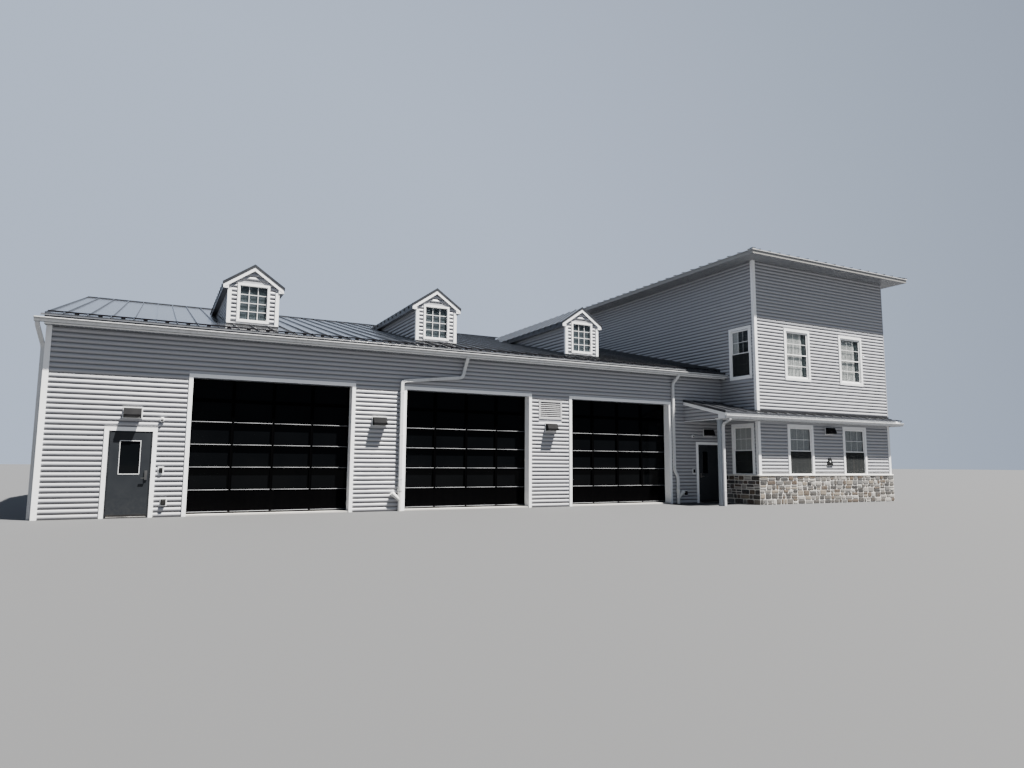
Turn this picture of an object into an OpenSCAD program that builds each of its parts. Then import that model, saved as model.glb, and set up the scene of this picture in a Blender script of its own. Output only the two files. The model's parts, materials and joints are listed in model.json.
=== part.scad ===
// Fire station: a one-storey vehicle hall with three sectional doors and a two-storey
// wing at its right end, joined by a corner porch and a pent roof.
// X runs along the front, Y runs back into the building, Z is up from the paving.

/* [Vehicle hall] */
// Depth of the hall from front face to back face
hall_depth = 21340; // [19800:20:24000]
// Thickness of the hall walls
hall_wall = 250; // [200:10:300]
// Height of the soffit above the paving
hall_soffit = 4740; // [4600:10:4900]
// Height of the roof surface above the front face of the wall
hall_roof_z = 5060; // [5020:10:5400]
// Rise of every main roof for each unit of run
pitch = 0.25; // [0.2:0.01:0.3]
// Upright thickness of the metal roofs with their decks
roof_t = 100; // [80:5:140]
// Height of the floor slabs above the paving
floor_t = 40; // [30:5:80]

/* [Hall doors] */
// Clear width of each sectional door opening
bay_w = 4267; // [3600:1:4500]
// Clear height of each sectional door opening
bay_h = 3658; // [3300:1:3900]
// Left side of the first sectional door opening
bay_x = 3335; // [3200:5:3500]
// Distance from one sectional door to the next
bay_step = 5944; // [5600:1:6000]
// Distance from the last sectional door to the wing
hall_end = 2640; // [2400:10:3400]
// Number of glazed columns in a sectional door
bay_columns = 4; // [3:1:5]
// Number of hinged sections in a sectional door
bay_sections = 6; // [5:1:7]
// Width of the stiles and rails of a section
section_bar = 62; // [50:1:80]
// Thickness of a section
section_t = 45; // [40:1:60]
// Distance from the wall's inner face to a sectional door
track_gap = 40; // [20:5:60]

/* [Hinged doors] */
// Left side of the left-hand personnel door opening
side_door_x = 1475; // [1300:5:1600]
// Distance from the porch entrance opening to the wing
entrance_gap = 260; // [200:5:340]
// Width of a hinged door opening in the wall
door_open_w = 990; // [980:2:1060]
// Height of a hinged door opening above the paving
door_open_h = 2190; // [2150:5:2300]
// Face width of a steel door frame
frame_face = 33; // [30:1:45]
// Running gap round a hinged leaf
leaf_gap = 5; // [5:0.5:8]
// Thickness of a hinged leaf
leaf_t = 45; // [40:1:50]
// Distance that a steel frame stands out from the wall
frame_out = 12; // [8:1:16]
// Diameter of a hinge knuckle
knuckle_d = 18; // [16:1:20]
// Height of each half of a hinge
knuckle_h = 55; // [45:1:65]
// Diameter of a hinge pin
pin_d = 9; // [7:0.5:10]
// Clearance between hinge parts that turn on each other
hinge_clear = 0.3; // [0.2:0.05:0.5]

/* [Trim and eaves] */
// Width of the white boards at openings and corners
board_w = 100; // [80:5:120]
// Distance that the boards stand out from the wall
board_out = 25; // [20:1:35]
// Distance from the hall wall to the eave board
hall_eave = 235; // [200:5:280]
// Thickness of eave boards and soffits
eave_board = 20; // [15:1:25]
// Distance that roof metal reaches past an eave board
drip = 25; // [15:1:30]
// Distance that the hall roof reaches past its left wall
rake_out = 50; // [40:5:80]
// Width of a gutter from back to front
gutter_w = 127; // [110:1:140]
// Height of a gutter
gutter_h = 108; // [95:1:115]
// Thickness of a gutter wall
gutter_t = 4; // [3:0.5:6]
// Length of gutter that runs past the hall's left corner
gutter_past = 250; // [240:5:300]
// Width of a downspout along the wall
spout_w = 100; // [90:1:110]
// Depth of a downspout out from the wall
spout_d = 75; // [65:1:85]
// Distance between standing seams
seam_step = 508; // [450:1:560]
// Height of a standing seam
seam_h = 42; // [35:1:50]
// Width of a standing seam
seam_w = 16; // [12:1:22]
// Distance of the snow rail up the roof from the wall face
rail_y = 350; // [250:10:500]
// Height of the snow rail's middle above the roof
rail_h = 75; // [65:1:90]
// Diameter of the snow rail
rail_d = 26; // [20:1:32]

/* [Dormers] */
// Number of dormers, one to each sectional door
dormers = 3; // [1:1:3]
// Distance from a dormer's middle to the middle of the door below, to the left
dormer_shift = 520; // [0:10:700]
// Width of a dormer between its outer faces
dormer_w = 1440; // [1400:10:1700]
// Distance from the hall's front face back to a dormer's face
dormer_y = 1800; // [1600:10:2000]
// Height of a dormer's wall top above the paving
dormer_wall_z = 6830; // [6700:10:7000]
// Thickness of a dormer's walls
dormer_wall = 110; // [90:5:140]
// Rise of a dormer roof for each unit of run
dormer_pitch = 0.7; // [0.5:0.01:0.8]
// Upright thickness of a dormer roof
dormer_roof_t = 75; // [60:5:100]
// Distance that a dormer roof reaches past its walls
dormer_eave = 155; // [100:5:180]
// Width of the window opening in a dormer
dormer_win_w = 830; // [700:10:900]
// Height of the window opening in a dormer
dormer_win_h = 1090; // [900:10:1120]
// Height of a dormer's window opening above the paving
dormer_win_z = 5675; // [5650:5:5700]
// Height of a dormer's rake boards and boxed eaves
dormer_rake_h = 110; // [90:5:120]
// Width of a dormer's corner boards
dormer_board_w = 85; // [70:5:100]
// Width of the boards round a dormer's window
dormer_trim_w = 65; // [50:5:80]

/* [Two-storey wing] */
// Width of the wing along the front
wing_w = 7500; // [7200:10:8400]
// Distance that the wing stands forward of the hall
wing_fwd = 1810; // [1700:10:2100]
// Thickness of the wing walls
wing_wall = 200; // [160:10:240]
// Height of the wing's soffit above the paving
wing_soffit = 9100; // [8900:10:9400]
// Distance that the wing's roof reaches past its walls
wing_eave = 700; // [500:10:800]
// Depth of the wing's boxed eave
wing_eave_t = 125; // [100:5:200]
// Height of the upper floor's surface above the paving
upper_floor_z = 3650; // [3500:10:3800]
// Thickness of the upper floor
upper_floor_t = 300; // [240:10:400]

/* [Wing windows] */
// Width of a front window opening
win_w = 1200; // [1000:10:1400]
// Width of the window openings in the wall by the porch
side_win_w = 910; // [800:10:1000]
// Middle of the first front window from the wing's left corner
win_x = 2220; // [1800:10:2600]
// Distance between window middles
win_step = 3100; // [2800:10:3400]
// Middle of the side windows from the wing's front face
side_win_y = 735; // [700:5:800]
// Height of a lower window opening, which stands on the stone cap
low_win_h = 1785; // [1600:5:1800]
// Height of an upper window opening above the paving
high_win_z = 4750; // [4700:10:4900]
// Height of an upper window opening
high_win_h = 1800; // [1600:10:2000]
// Face width of a window's own frame
sash_bar = 60; // [45:1:80]
// Depth of a window frame from the wall's face back to the glass
sash_t = 35; // [25:5:60]
// Thickness of every sheet of glass
glass_t = 12; // [6:1:24]

/* [Porch and pent roof] */
// Width of the porch from its left end to the wing
porch_w = 1900; // [1850:5:2000]
// Height of the pent roof surface at the hall wall
pent_z = 3850; // [3800:10:3950]
// Distance that the pent roof reaches past the wing wall
pent_out = 370; // [300:10:450]
// Upright thickness of the pent roof
pent_t = 60; // [50:5:80]
// Height of the pent soffit above the paving
pent_soffit = 3050; // [3040:5:3100]
// Side of the square porch post
post_w = 180; // [140:5:220]
// Height of the porch beams
beam_h = 180; // [150:5:200]

/* [Stone base] */
// Height of the stone facing with its cap
stone_h = 1085; // [900:5:1100]
// Thickness of the stone facing
stone_t = 60; // [50:5:90]
// Height of the stone cap
cap_h = 50; // [40:5:70]
// Distance that the cap stands out past the stone
cap_out = 25; // [15:1:35]

/* [Fittings] */
// Width of a wall light
light_w = 400; // [340:5:460]
// Height of a wall light
light_h = 230; // [200:5:260]
// Depth of a wall light
light_d = 210; // [170:5:240]
// Height of a wall light's underside above the boards of the hinged door below it
light_over = 250; // [150:5:300]
// Distance from the louvre opening down to the top of the light below it
light_under = 185; // [120:5:260]
// Distance from a sectional door back to the middle of the light on its left pier
light_aside = 840; // [780:5:900]
// Width of the louvre opening
vent_w = 840; // [700:10:900]
// Height of the louvre opening
vent_h = 580; // [500:10:620]
// Distance from the heads of the sectional doors down to the louvre opening
vent_drop = 123; // [100:1:180]
// Number of louvre blades
vent_blades = 8; // [6:1:10]
// Height of the middles of the card readers
reader_z = 1190; // [1100:10:1300]
// Height of the middles of the outlet boxes
outlet_box_z = 385; // [300:5:450]
// Distance from the last downspout to the outlet box beyond it
outlet_past = 565; // [540:5:620]
// Height of the middle of the box on the wing front
alarm_z = 1590; // [1500:10:1700]
// Height of the middles of the door sensors
sensor_z = 2520; // [2450:10:2600]

/* [Hidden] */
$fn = 32;
far = 60000;

wing_x = bay_x + 2 * bay_step + bay_w + hall_end;
porch_x = wing_x - porch_w;
entrance_x = wing_x - entrance_gap - door_open_w;
wing_y = -wing_fwd;
wing_back = hall_depth;
wing_len = wing_back - wing_y;
wing_right = wing_x + wing_w;
ridge_y = hall_depth / 2;
leaf_x = frame_face + leaf_gap;
swing_gap = 2;
leaf_w = door_open_w - 2 * leaf_x - swing_gap;
leaf_base = floor_t + 2 * leaf_gap;
leaf_top = door_open_h - frame_face - leaf_gap;
leaf_y = -frame_out;
hinge_y = leaf_y - knuckle_d / 2 - 0.5;
hinge_x = leaf_x - leaf_gap / 2;
hinge_heights = [leaf_base + 180, (leaf_base + leaf_top) / 2 - knuckle_h, leaf_top - 180 - 2 * knuckle_h];
pin_l = knuckle_h - 8;
stop_w = 16;
door_xs = [side_door_x, entrance_x];
bay_xs = [for (i = [0 : 2]) bay_x + i * bay_step];
bay_door_y = hall_wall + track_gap;
bay_lap = 40;
lining_t = 20;
ridge_lap = 160;
first_seam = 330;
seam_xs = concat([seam_w / 2 - rake_out], [for (x = [first_seam : seam_step : wing_x - seam_w]) x]);
hall_gutter_z = hall_soffit + 35;
outlet_z = hall_gutter_z - 60;
boot_r = 70;
boot_2_top = 720;
boot_3_top = 520;
boot_cup = 60;
spout_y = -boot_r - spout_d / 2;
spout_slant_z = 4380;
gutter_mid_y = -hall_eave - gutter_w * 0.3 - spout_d / 2;
spout_2_x = bay_xs[1] - board_w - spout_w - 20;
spout_2_run = 2071;
spout_2_top_x = spout_2_x + spout_2_run;
spout_3_x = bay_xs[2] + bay_w + board_w + 60;
jog = 120;
strap_h = 30;
vent_shift = 10;
vent_x = (bay_xs[1] + bay_w + bay_xs[2]) / 2 - vent_shift;
vent_z = bay_h - vent_drop - vent_h;
door_light_z = door_open_h + board_w + light_over;
pier_light_z = vent_z - light_under - light_h;
cap_t = 6;
beam_z = pent_soffit - eave_board;
beam_top = beam_z + beam_h;
post_foot = 12;
vision_z = 1105;
vision_h = 830;
side_glass = [268, 450];
entrance_glass_at = [528, 250];
dormer_xs = [for (i = [0 : dormers - 1]) bay_x + i * bay_step + bay_w / 2 - dormer_shift];
dormer_front = dormer_y - dormer_eave;
dormer_half = dormer_w / 2 + dormer_eave;
dormer_peak = dormer_wall_z + dormer_roof_t + dormer_pitch * dormer_w / 2;
dormer_end = (dormer_peak - hall_roof_z) / pitch;
dormer_seam_h = 25;
dormer_low = dormer_wall_z - dormer_pitch * dormer_eave;
dormer_box_z = dormer_low - dormer_rake_h;
dormer_frame_t = 30;
wing_roof_z = wing_soffit + wing_eave_t;
wing_roof_w = wing_w + 2 * (wing_eave + drip);
wing_roof_len = wing_len + 2 * (wing_eave + drip);
wing_roof_rise = pitch * wing_roof_w / 2;
pent_front = wing_y - pent_out;
pent_right = wing_right + pent_out;
pent_left = porch_x - board_out - 10;
pent_wall_z = pent_z + pitch * wing_y;
front_win_xs = [wing_x + win_x, wing_x + win_x + win_step];
wing_mid_x = wing_x + win_x + win_step / 2;
right_win_ys = [for (i = [0 : 5]) wing_y + win_x + i * 1.2 * win_step];
win_rows = [[stone_h, low_win_h], [high_win_z, high_win_h]];
origin_x = (wing_right + wing_eave + drip - gutter_past) / 2;
origin_y = (hall_depth + wing_y) / 2;

siding_color = [0.62, 0.63, 0.66];
trim_color = [0.9, 0.9, 0.9];
metal_color = [0.2, 0.21, 0.23];
door_color = [0.1, 0.1, 0.11];
leaf_color = [0.22, 0.26, 0.33];
glass_color = [0.3, 0.36, 0.4, 0.6];
stone_color = [0.6, 0.56, 0.5];
concrete_color = [0.7, 0.69, 0.66];

function hall_top(y) = hall_roof_z + pitch * min(y, hall_depth - y);
function hall_under(y) = hall_top(y) - roof_t;
function pent_top(y) = pent_z + pitch * y;

// Puts the building's own corner coordinates on the middle of its footprint.
module placed() {
    translate([-origin_x, -origin_y, 0]) children();
}

// A block between two corners.
module span(low, high) {
    translate(low) cube(high - low);
}

// A profile in Y and Z, pushed along X from x0 to x1.
module along_x(x0, x1) {
    translate([x0, 0, 0]) rotate([90, 0, 90]) linear_extrude(x1 - x0) children();
}

// A profile in X and Z, pushed along Y from y0 to y1.
module along_y(y0, y1) {
    translate([0, y1, 0]) rotate([90, 0, 0]) linear_extrude(y1 - y0) children();
}

// A plan outline, raised from z0 to z1.
module raised(z0, z1) {
    translate([0, 0, z0]) linear_extrude(z1 - z0) children();
}

// A rectangular ring in the plane of its profile.
module ring2d(w, h, bar) {
    difference() {
        square([w, h]);
        translate([bar, bar]) square([w - 2 * bar, h - 2 * bar]);
    }
}

// An arch of board of width w round an opening from x, in X and Z, standing on z = 0.
module door_arch(x, open_w, open_h, w) {
    difference() {
        translate([x - w, 0]) square([open_w + 2 * w, open_h + w]);
        translate([x, -1]) square([open_w, open_h + 1]);
    }
}

// Hall front wall from x0 to x1, from z0 up to the roof.
module front_strip(x0, x1, z0) {
    along_x(x0, x1)
        polygon([[0, z0], [hall_wall, z0], [hall_wall, hall_under(hall_wall)], [0, hall_under(0)]]);
}

// Slabs of both blocks, run out through the doorways to the front face.
module ground_floors() {
    sill = frame_face + stop_w;
    color(concrete_color) {
        span([hall_wall, hall_wall, 0], [wing_x, hall_depth - hall_wall, floor_t]);
        for (x = door_xs) span([x + sill, 0, 0], [x + door_open_w - sill, hall_wall + 1, floor_t]);
        for (x = bay_xs) span([x - lining_t, 0, 0], [x + bay_w + lining_t, hall_wall + 1, floor_t]);
        span([wing_x + wing_wall, wing_y + wing_wall, 0],
             [wing_right - wing_wall, wing_back - wing_wall, floor_t]);
    }
}

module upper_floor() {
    color(concrete_color)
        span([wing_x + wing_wall, wing_y + wing_wall, upper_floor_z - upper_floor_t],
             [wing_right - wing_wall, wing_back - wing_wall, upper_floor_z]);
}

// The front wall's full-height ends and the piers beside the sectional doors.
module hall_front_piers() {
    lefts = concat([side_door_x + door_open_w], [for (x = bay_xs) x + bay_w + lining_t]);
    rights = concat([for (x = bay_xs) x - lining_t], [entrance_x]);
    color(siding_color) {
        front_strip(0, side_door_x, 0);
        front_strip(entrance_x + door_open_w, wing_x, 0);
        difference() {
            for (i = [0 : 3]) span([lefts[i], 0, 0], [rights[i], hall_wall, bay_h + lining_t]);
            vent_hole();
        }
    }
}

module hall_front_header() {
    color(siding_color) front_strip(side_door_x + door_open_w, entrance_x, bay_h + lining_t);
}

module hall_over_doors() {
    color(siding_color) for (x = door_xs) front_strip(x, x + door_open_w, door_open_h);
}

module hall_left_wall() {
    color(siding_color) along_x(0, hall_wall) polygon([
        [hall_wall, 0], [hall_depth - hall_wall, 0], [hall_depth - hall_wall, hall_under(hall_wall)],
        [ridge_y, hall_under(ridge_y)], [hall_wall, hall_under(hall_wall)]
    ]);
}

module hall_back_wall() {
    color(siding_color) along_x(0, wing_x) polygon([
        [hall_depth - hall_wall, 0], [hall_depth, 0], [hall_depth, hall_under(0)],
        [hall_depth - hall_wall, hall_under(hall_wall)]
    ]);
}

// Window openings through a wall that faces front or back; y is its outer face.
module front_window_holes(xs, y) {
    for (x = xs, row = win_rows)
        span([x - win_w / 2, y - wing_wall - 1, row[0]], [x + win_w / 2, y + wing_wall + 1, row[0] + row[1]]);
}

module wing_front_wall() {
    color(siding_color) difference() {
        span([wing_x + wing_wall, wing_y, 0], [wing_right - wing_wall, wing_y + wing_wall, wing_soffit]);
        front_window_holes(front_win_xs, wing_y);
    }
}

module wing_back_wall() {
    color(siding_color) difference() {
        span([wing_x + wing_wall, wing_back - wing_wall, 0], [wing_right - wing_wall, wing_back, wing_soffit]);
        front_window_holes(front_win_xs, wing_back);
    }
}

module wing_left_wall() {
    color(siding_color) difference() {
        span([wing_x, wing_y, 0], [wing_x + wing_wall, wing_back, wing_soffit]);
        for (row = win_rows)
            span([wing_x - 1, wing_y + side_win_y - side_win_w / 2, row[0]],
                 [wing_x + wing_wall + 1, wing_y + side_win_y + side_win_w / 2, row[0] + row[1]]);
    }
}

module wing_right_wall() {
    color(siding_color) difference() {
        span([wing_right - wing_wall, wing_y, 0], [wing_right, wing_back, wing_soffit]);
        for (y = right_win_ys, row = win_rows)
            span([wing_right - wing_wall - 1, y - win_w / 2, row[0]],
                 [wing_right + 1, y + win_w / 2, row[0] + row[1]]);
    }
}

// Ground covered by a dormer on the front slope, where the seams stop.
module dormer_plan() {
    clear = 12;
    wall_half = dormer_w / 2 + board_out + clear;
    roof_half = dormer_half + clear;
    start = dormer_y - board_out - clear;
    eave_meets = (dormer_box_z - seam_h - hall_roof_z) / pitch - clear;
    top_meets = (dormer_peak + dormer_seam_h - dormer_half * dormer_pitch - hall_roof_z) / pitch;
    end = dormer_end + dormer_seam_h / pitch + clear;
    for (x = dormer_xs) translate([x, 0]) polygon([
        [-wall_half, start], [wall_half, start],
        [wall_half, eave_meets], [roof_half, eave_meets], [roof_half, top_meets],
        [clear, end], [-clear, end],
        [-roof_half, top_meets], [-roof_half, eave_meets], [-wall_half, eave_meets]
    ]);
}

// The front slope of the hall roof with its standing seams.
module hall_slope() {
    edge = -hall_eave - drip;
    along_x(-rake_out, wing_x)
        polygon([[edge, hall_under(edge)], [ridge_y, hall_under(ridge_y)], [ridge_y, hall_top(ridge_y)],
                 [edge, hall_top(edge)]]);
    for (x = seam_xs) along_x(x - seam_w / 2, x + seam_w / 2)
        polygon([[edge, hall_top(edge)], [ridge_y - ridge_lap, hall_top(ridge_y - ridge_lap)],
                 [ridge_y - ridge_lap, hall_top(ridge_y - ridge_lap) + seam_h], [edge, hall_top(edge) + seam_h]]);
}

module hall_roof_front() {
    color(metal_color) difference() {
        hall_slope();
        intersection() {
            raised(0, far) dormer_plan();
            along_x(-far, far) polygon([[-far, hall_roof_z - pitch * far], [far, hall_roof_z + pitch * far],
                                        [far, 2 * far], [-far, 2 * far]]);
        }
    }
}

module hall_roof_back() {
    color(metal_color) translate([0, hall_depth, 0]) mirror([0, 1, 0]) hall_slope();
}

module ridge_cap() {
    edge_z = hall_top(ridge_y - ridge_lap);
    color(metal_color) along_x(-rake_out, wing_x) polygon([
        [ridge_y - ridge_lap, edge_z], [ridge_y, hall_top(ridge_y)], [ridge_y + ridge_lap, edge_z],
        [ridge_y + ridge_lap, edge_z + seam_h + cap_t], [ridge_y, hall_top(ridge_y) + seam_h + cap_t],
        [ridge_y - ridge_lap, edge_z + seam_h + cap_t]
    ]);
}

// Soffit and eave board of one long side of the hall.
module hall_eave() {
    along_x(-rake_out, wing_x) polygon([
        [-hall_eave, hall_soffit], [0, hall_soffit], [0, hall_soffit + eave_board],
        [-hall_eave + eave_board, hall_soffit + eave_board],
        [-hall_eave + eave_board, hall_under(-hall_eave + eave_board)], [-hall_eave, hall_under(-hall_eave)]
    ]);
}

module hall_eaves() {
    rake_h = 140;
    color(trim_color) {
        hall_eave();
        translate([0, hall_depth, 0]) mirror([0, 1, 0]) hall_eave();
        along_x(-board_out, 0) polygon([
            [0, hall_under(0) - rake_h], [ridge_y, hall_under(ridge_y) - rake_h],
            [hall_depth, hall_under(0) - rake_h], [hall_depth, hall_under(0)],
            [ridge_y, hall_under(ridge_y)], [0, hall_under(0)]
        ]);
    }
}

// Outline of a moulded gutter with its back on y = 0 and its bottom on z = 0.
module gutter_outline() {
    foot = gutter_w * 0.62;
    swell = gutter_w * 0.08;
    belly = gutter_h * 0.42;
    lip = gutter_h * 0.2;
    polygon([[0, 0], [-foot, 0], [-foot - swell, belly], [-gutter_w, gutter_h - lip],
             [-gutter_w, gutter_h], [0, gutter_h]]);
}

// The sheet of a gutter, open at the top.
module gutter_section() {
    difference() {
        gutter_outline();
        difference() {
            offset(delta = -gutter_t) gutter_outline();
            translate([-gutter_w, -1]) square([gutter_w, 1 + gutter_t]);
        }
        translate([-gutter_w + gutter_t, gutter_h - 2 * gutter_t])
            square([gutter_w - 2 * gutter_t, 3 * gutter_t]);
    }
}

module hall_gutter() {
    translate([0, -hall_eave, hall_gutter_z]) {
        along_x(-gutter_past, wing_x) gutter_section();
        along_x(-gutter_past, -gutter_past + gutter_t) gutter_outline();
    }
}

module hall_gutters() {
    color(trim_color) {
        hall_gutter();
        translate([0, hall_depth, 0]) mirror([0, 1, 0]) hall_gutter();
    }
}

// A straight run of downspout between two points, hung by its left front corner.
module spout(from, to) {
    hull() {
        translate(from) cube([spout_w, spout_d, 1]);
        translate(to) cube([spout_w, spout_d, 1]);
    }
}

// A strap that holds a run of downspout at x off the hall's front wall.
module spout_strap(x, z) {
    past = 8;
    span([x - past, spout_y + spout_d - 1, z], [x + spout_w + past, 0, z + strap_h]);
}

// The outlet under the hall gutter at x.
module spout_outlet(x) {
    span([x, gutter_mid_y, outlet_z], [x + spout_w, gutter_mid_y + spout_d, hall_gutter_z]);
}

module left_downspout() {
    x = -board_out - spout_w;
    y = hall_wall / 2;
    top_x = -gutter_past + 20;
    spout_outlet(top_x);
    spout([top_x, gutter_mid_y, outlet_z], [x, y, spout_slant_z]);
    span([x, y, 0], [x + spout_w, y + spout_d, spout_slant_z]);
    for (z = [300, 2200, 4100]) span([-board_out - 1, y, z], [0, y + spout_d, z + strap_h]);
}

module middle_downspout() {
    right_z = 4080;
    left_z = 3900;
    spout_outlet(spout_2_top_x);
    spout([spout_2_top_x, gutter_mid_y, outlet_z], [spout_2_top_x, spout_y, spout_slant_z]);
    spout([spout_2_top_x, spout_y, spout_slant_z], [spout_2_top_x - spout_w, spout_y, right_z]);
    along_y(spout_y, spout_y + spout_d) polygon([
        [spout_2_top_x, right_z], [spout_2_top_x, right_z + spout_w],
        [spout_2_x, left_z + spout_w / 2], [spout_2_x, left_z - spout_w / 2]
    ]);
    span([spout_2_x, spout_y, boot_2_top - boot_cup], [spout_2_x + spout_w, spout_y + spout_d, left_z]);
    for (z = [900, 2200, 3500]) spout_strap(spout_2_x, z);
}

module right_downspout() {
    jog_x = spout_3_x + jog;
    jog_top = 1230;
    jog_low = 980;
    top_x = spout_3_x + 250;
    spout_outlet(top_x);
    spout([top_x, gutter_mid_y, outlet_z], [spout_3_x, spout_y, spout_slant_z]);
    span([spout_3_x, spout_y, jog_top], [spout_3_x + spout_w, spout_y + spout_d, spout_slant_z + 1]);
    along_y(spout_y, spout_y + spout_d) polygon([
        [spout_3_x, jog_top], [spout_3_x + spout_w, jog_top], [jog_x + spout_w, jog_low],
        [jog_x + spout_w, boot_3_top - boot_cup], [jog_x, boot_3_top - boot_cup], [jog_x, jog_low]
    ]);
    for (z = [1400, 2800, 4200]) spout_strap(spout_3_x, z);
    spout_strap(jog_x, 700);
}

module hall_downspouts() {
    color(trim_color) {
        left_downspout();
        middle_downspout();
        right_downspout();
    }
}

// Plastic drain boot under a downspout with a branch that leans sideways.
module drain_boot(x, top, lean) {
    pipe_r = boot_r - 12;
    cup_wall = 5;
    branch = 330;
    hub = 90;
    translate([x, -boot_r, 0]) {
        cylinder(r = pipe_r, h = top - boot_cup);
        difference() {
            translate([0, 0, top - 2 * boot_cup]) cylinder(r = boot_r, h = 2 * boot_cup);
            translate([0, 0, top - boot_cup]) cylinder(r = boot_r - cup_wall, h = boot_cup + 1);
        }
        translate([0, 0, top * 0.45]) rotate([0, lean, 0]) {
            cylinder(r = pipe_r, h = branch);
            translate([0, 0, branch - hub]) cylinder(r = boot_r, h = hub);
        }
    }
}

module drain_boots() {
    color(trim_color) {
        drain_boot(spout_2_x + spout_w / 2, boot_2_top, -50);
        drain_boot(spout_3_x + jog + spout_w / 2, boot_3_top, 50);
    }
}

module snow_rail() {
    z = hall_top(rail_y) + rail_h;
    clamp_w = 50;
    color(metal_color) {
        translate([-rake_out, rail_y, z]) rotate([0, 90, 0]) cylinder(d = rail_d, h = wing_x);
        for (i = [1 : 2 : len(seam_xs) - 1])
            along_x(seam_xs[i] - clamp_w / 2, seam_xs[i] + clamp_w / 2) polygon([
                [rail_y - 22, hall_top(rail_y - 22) + seam_h], [rail_y + 22, hall_top(rail_y + 22) + seam_h],
                [rail_y + 14, z], [rail_y - 14, z]
            ]);
    }
}

// Everything under the hall's front roof surface.
module under_front_slope() {
    along_x(-far, far) polygon([
        [-far, hall_roof_z - pitch * far], [far, hall_roof_z + pitch * far], [far, -far], [-far, -far]
    ]);
}

module dormer_fronts() {
    color(siding_color) for (x = dormer_xs) difference() {
        along_y(dormer_y, dormer_y + dormer_wall) polygon([
            [x - dormer_w / 2, 0], [x + dormer_w / 2, 0], [x + dormer_w / 2, dormer_wall_z],
            [x, dormer_wall_z + dormer_pitch * dormer_w / 2], [x - dormer_w / 2, dormer_wall_z]
        ]);
        under_front_slope();
        span([x - dormer_win_w / 2, dormer_y - 1, dormer_win_z],
             [x + dormer_win_w / 2, dormer_y + dormer_wall + 1, dormer_win_z + dormer_win_h]);
    }
}

module dormer_cheeks() {
    start = dormer_y + dormer_wall;
    meets = (dormer_wall_z - hall_roof_z) / pitch;
    color(siding_color) for (x = dormer_xs, side = [-1, 1]) {
        outer = x + side * dormer_w / 2;
        inner = outer - side * dormer_wall;
        along_x(min(outer, inner), max(outer, inner))
            polygon([[start, hall_top(start)], [meets, dormer_wall_z], [start, dormer_wall_z]]);
    }
}

// Section of a dormer roof, with its underside on the wall tops.
module dormer_roof_section(lift, thick) {
    half = dormer_half;
    low = dormer_low + lift;
    top = dormer_wall_z + dormer_pitch * dormer_w / 2 + lift;
    polygon([[-half, low], [0, top], [half, low], [half, low + thick], [0, top + thick], [-half, low + thick]]);
}

module dormer_roofs() {
    color(metal_color) for (x = dormer_xs) translate([x, 0, 0]) difference() {
        union() {
            along_y(dormer_front, dormer_end) dormer_roof_section(0, dormer_roof_t);
            for (y = [dormer_front : seam_step : dormer_end])
                along_y(y, y + seam_w) dormer_roof_section(dormer_roof_t - 1, dormer_seam_h + 1);
        }
        under_front_slope();
    }
}

// Section of a dormer's boxed eaves, from the cheeks out to the roof edge.
module dormer_box_section() {
    tuck = 12;
    wall = dormer_w / 2;
    edge = dormer_half - tuck;
    for (side = [-1, 1]) polygon([
        [side * wall, dormer_box_z], [side * edge, dormer_box_z],
        [side * edge, dormer_low + dormer_pitch * tuck], [side * wall, dormer_wall_z]
    ]);
}

// Rake boards, boxed eaves, corner boards and foot board of a dormer around x = 0.
module dormer_boards() {
    rake_y = dormer_front + 6;
    rake_t = 25;
    lining_h = 12;
    foot_h = 55;
    wall = dormer_w / 2;
    face = dormer_y - board_out;
    along_y(rake_y, rake_y + rake_t) dormer_roof_section(-dormer_rake_h, dormer_rake_h);
    along_y(rake_y + rake_t, dormer_y) dormer_roof_section(-lining_h, lining_h);
    difference() {
        union() {
            along_y(rake_y, dormer_end) dormer_box_section();
            raised(0, dormer_box_z) for (side = [0, 1]) mirror([side, 0]) {
                translate([wall - dormer_board_w, face]) square([dormer_board_w + board_out, board_out]);
                translate([wall, dormer_y]) square([board_out, dormer_board_w]);
            }
            span([dormer_board_w - wall, face, 0],
                 [wall - dormer_board_w, dormer_y, hall_top(dormer_y) + foot_h]);
        }
        under_front_slope();
    }
}

module dormer_trim() {
    color(trim_color) for (x = dormer_xs) translate([x, 0, 0]) dormer_boards();
}

// A window frame with one middle rail, w wide and h high, in X and Z, its front on y = 0.
module sash(w, h) {
    along_y(0, sash_t) {
        ring2d(w, h, sash_bar);
        translate([sash_bar / 2, (h - sash_bar) / 2]) square([w - sash_bar, sash_bar]);
    }
}

// White boards round an upper opening w wide and h high, standing out from y = 0.
module surround(w, h) {
    along_y(-board_out, 0) translate([-board_w, -board_w]) ring2d(w + 2 * board_w, h + 2 * board_w, board_w);
}

// White boards beside and over a lower opening, standing on the stone cap.
module lower_surround(w, h) {
    along_y(-board_out, 0) door_arch(0, w, h, board_w);
}

module dormer_windows() {
    frame_w = 30;
    lap = 15;
    past = dormer_trim_w - lap;
    color(trim_color) for (x = dormer_xs) translate([x - dormer_win_w / 2, dormer_y, dormer_win_z]) {
        along_y(0, dormer_frame_t) ring2d(dormer_win_w, dormer_win_h, frame_w);
        along_y(-board_out, 0) translate([-past, -past])
            ring2d(dormer_win_w + 2 * past, dormer_win_h + 2 * past, dormer_trim_w);
    }
}

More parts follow.
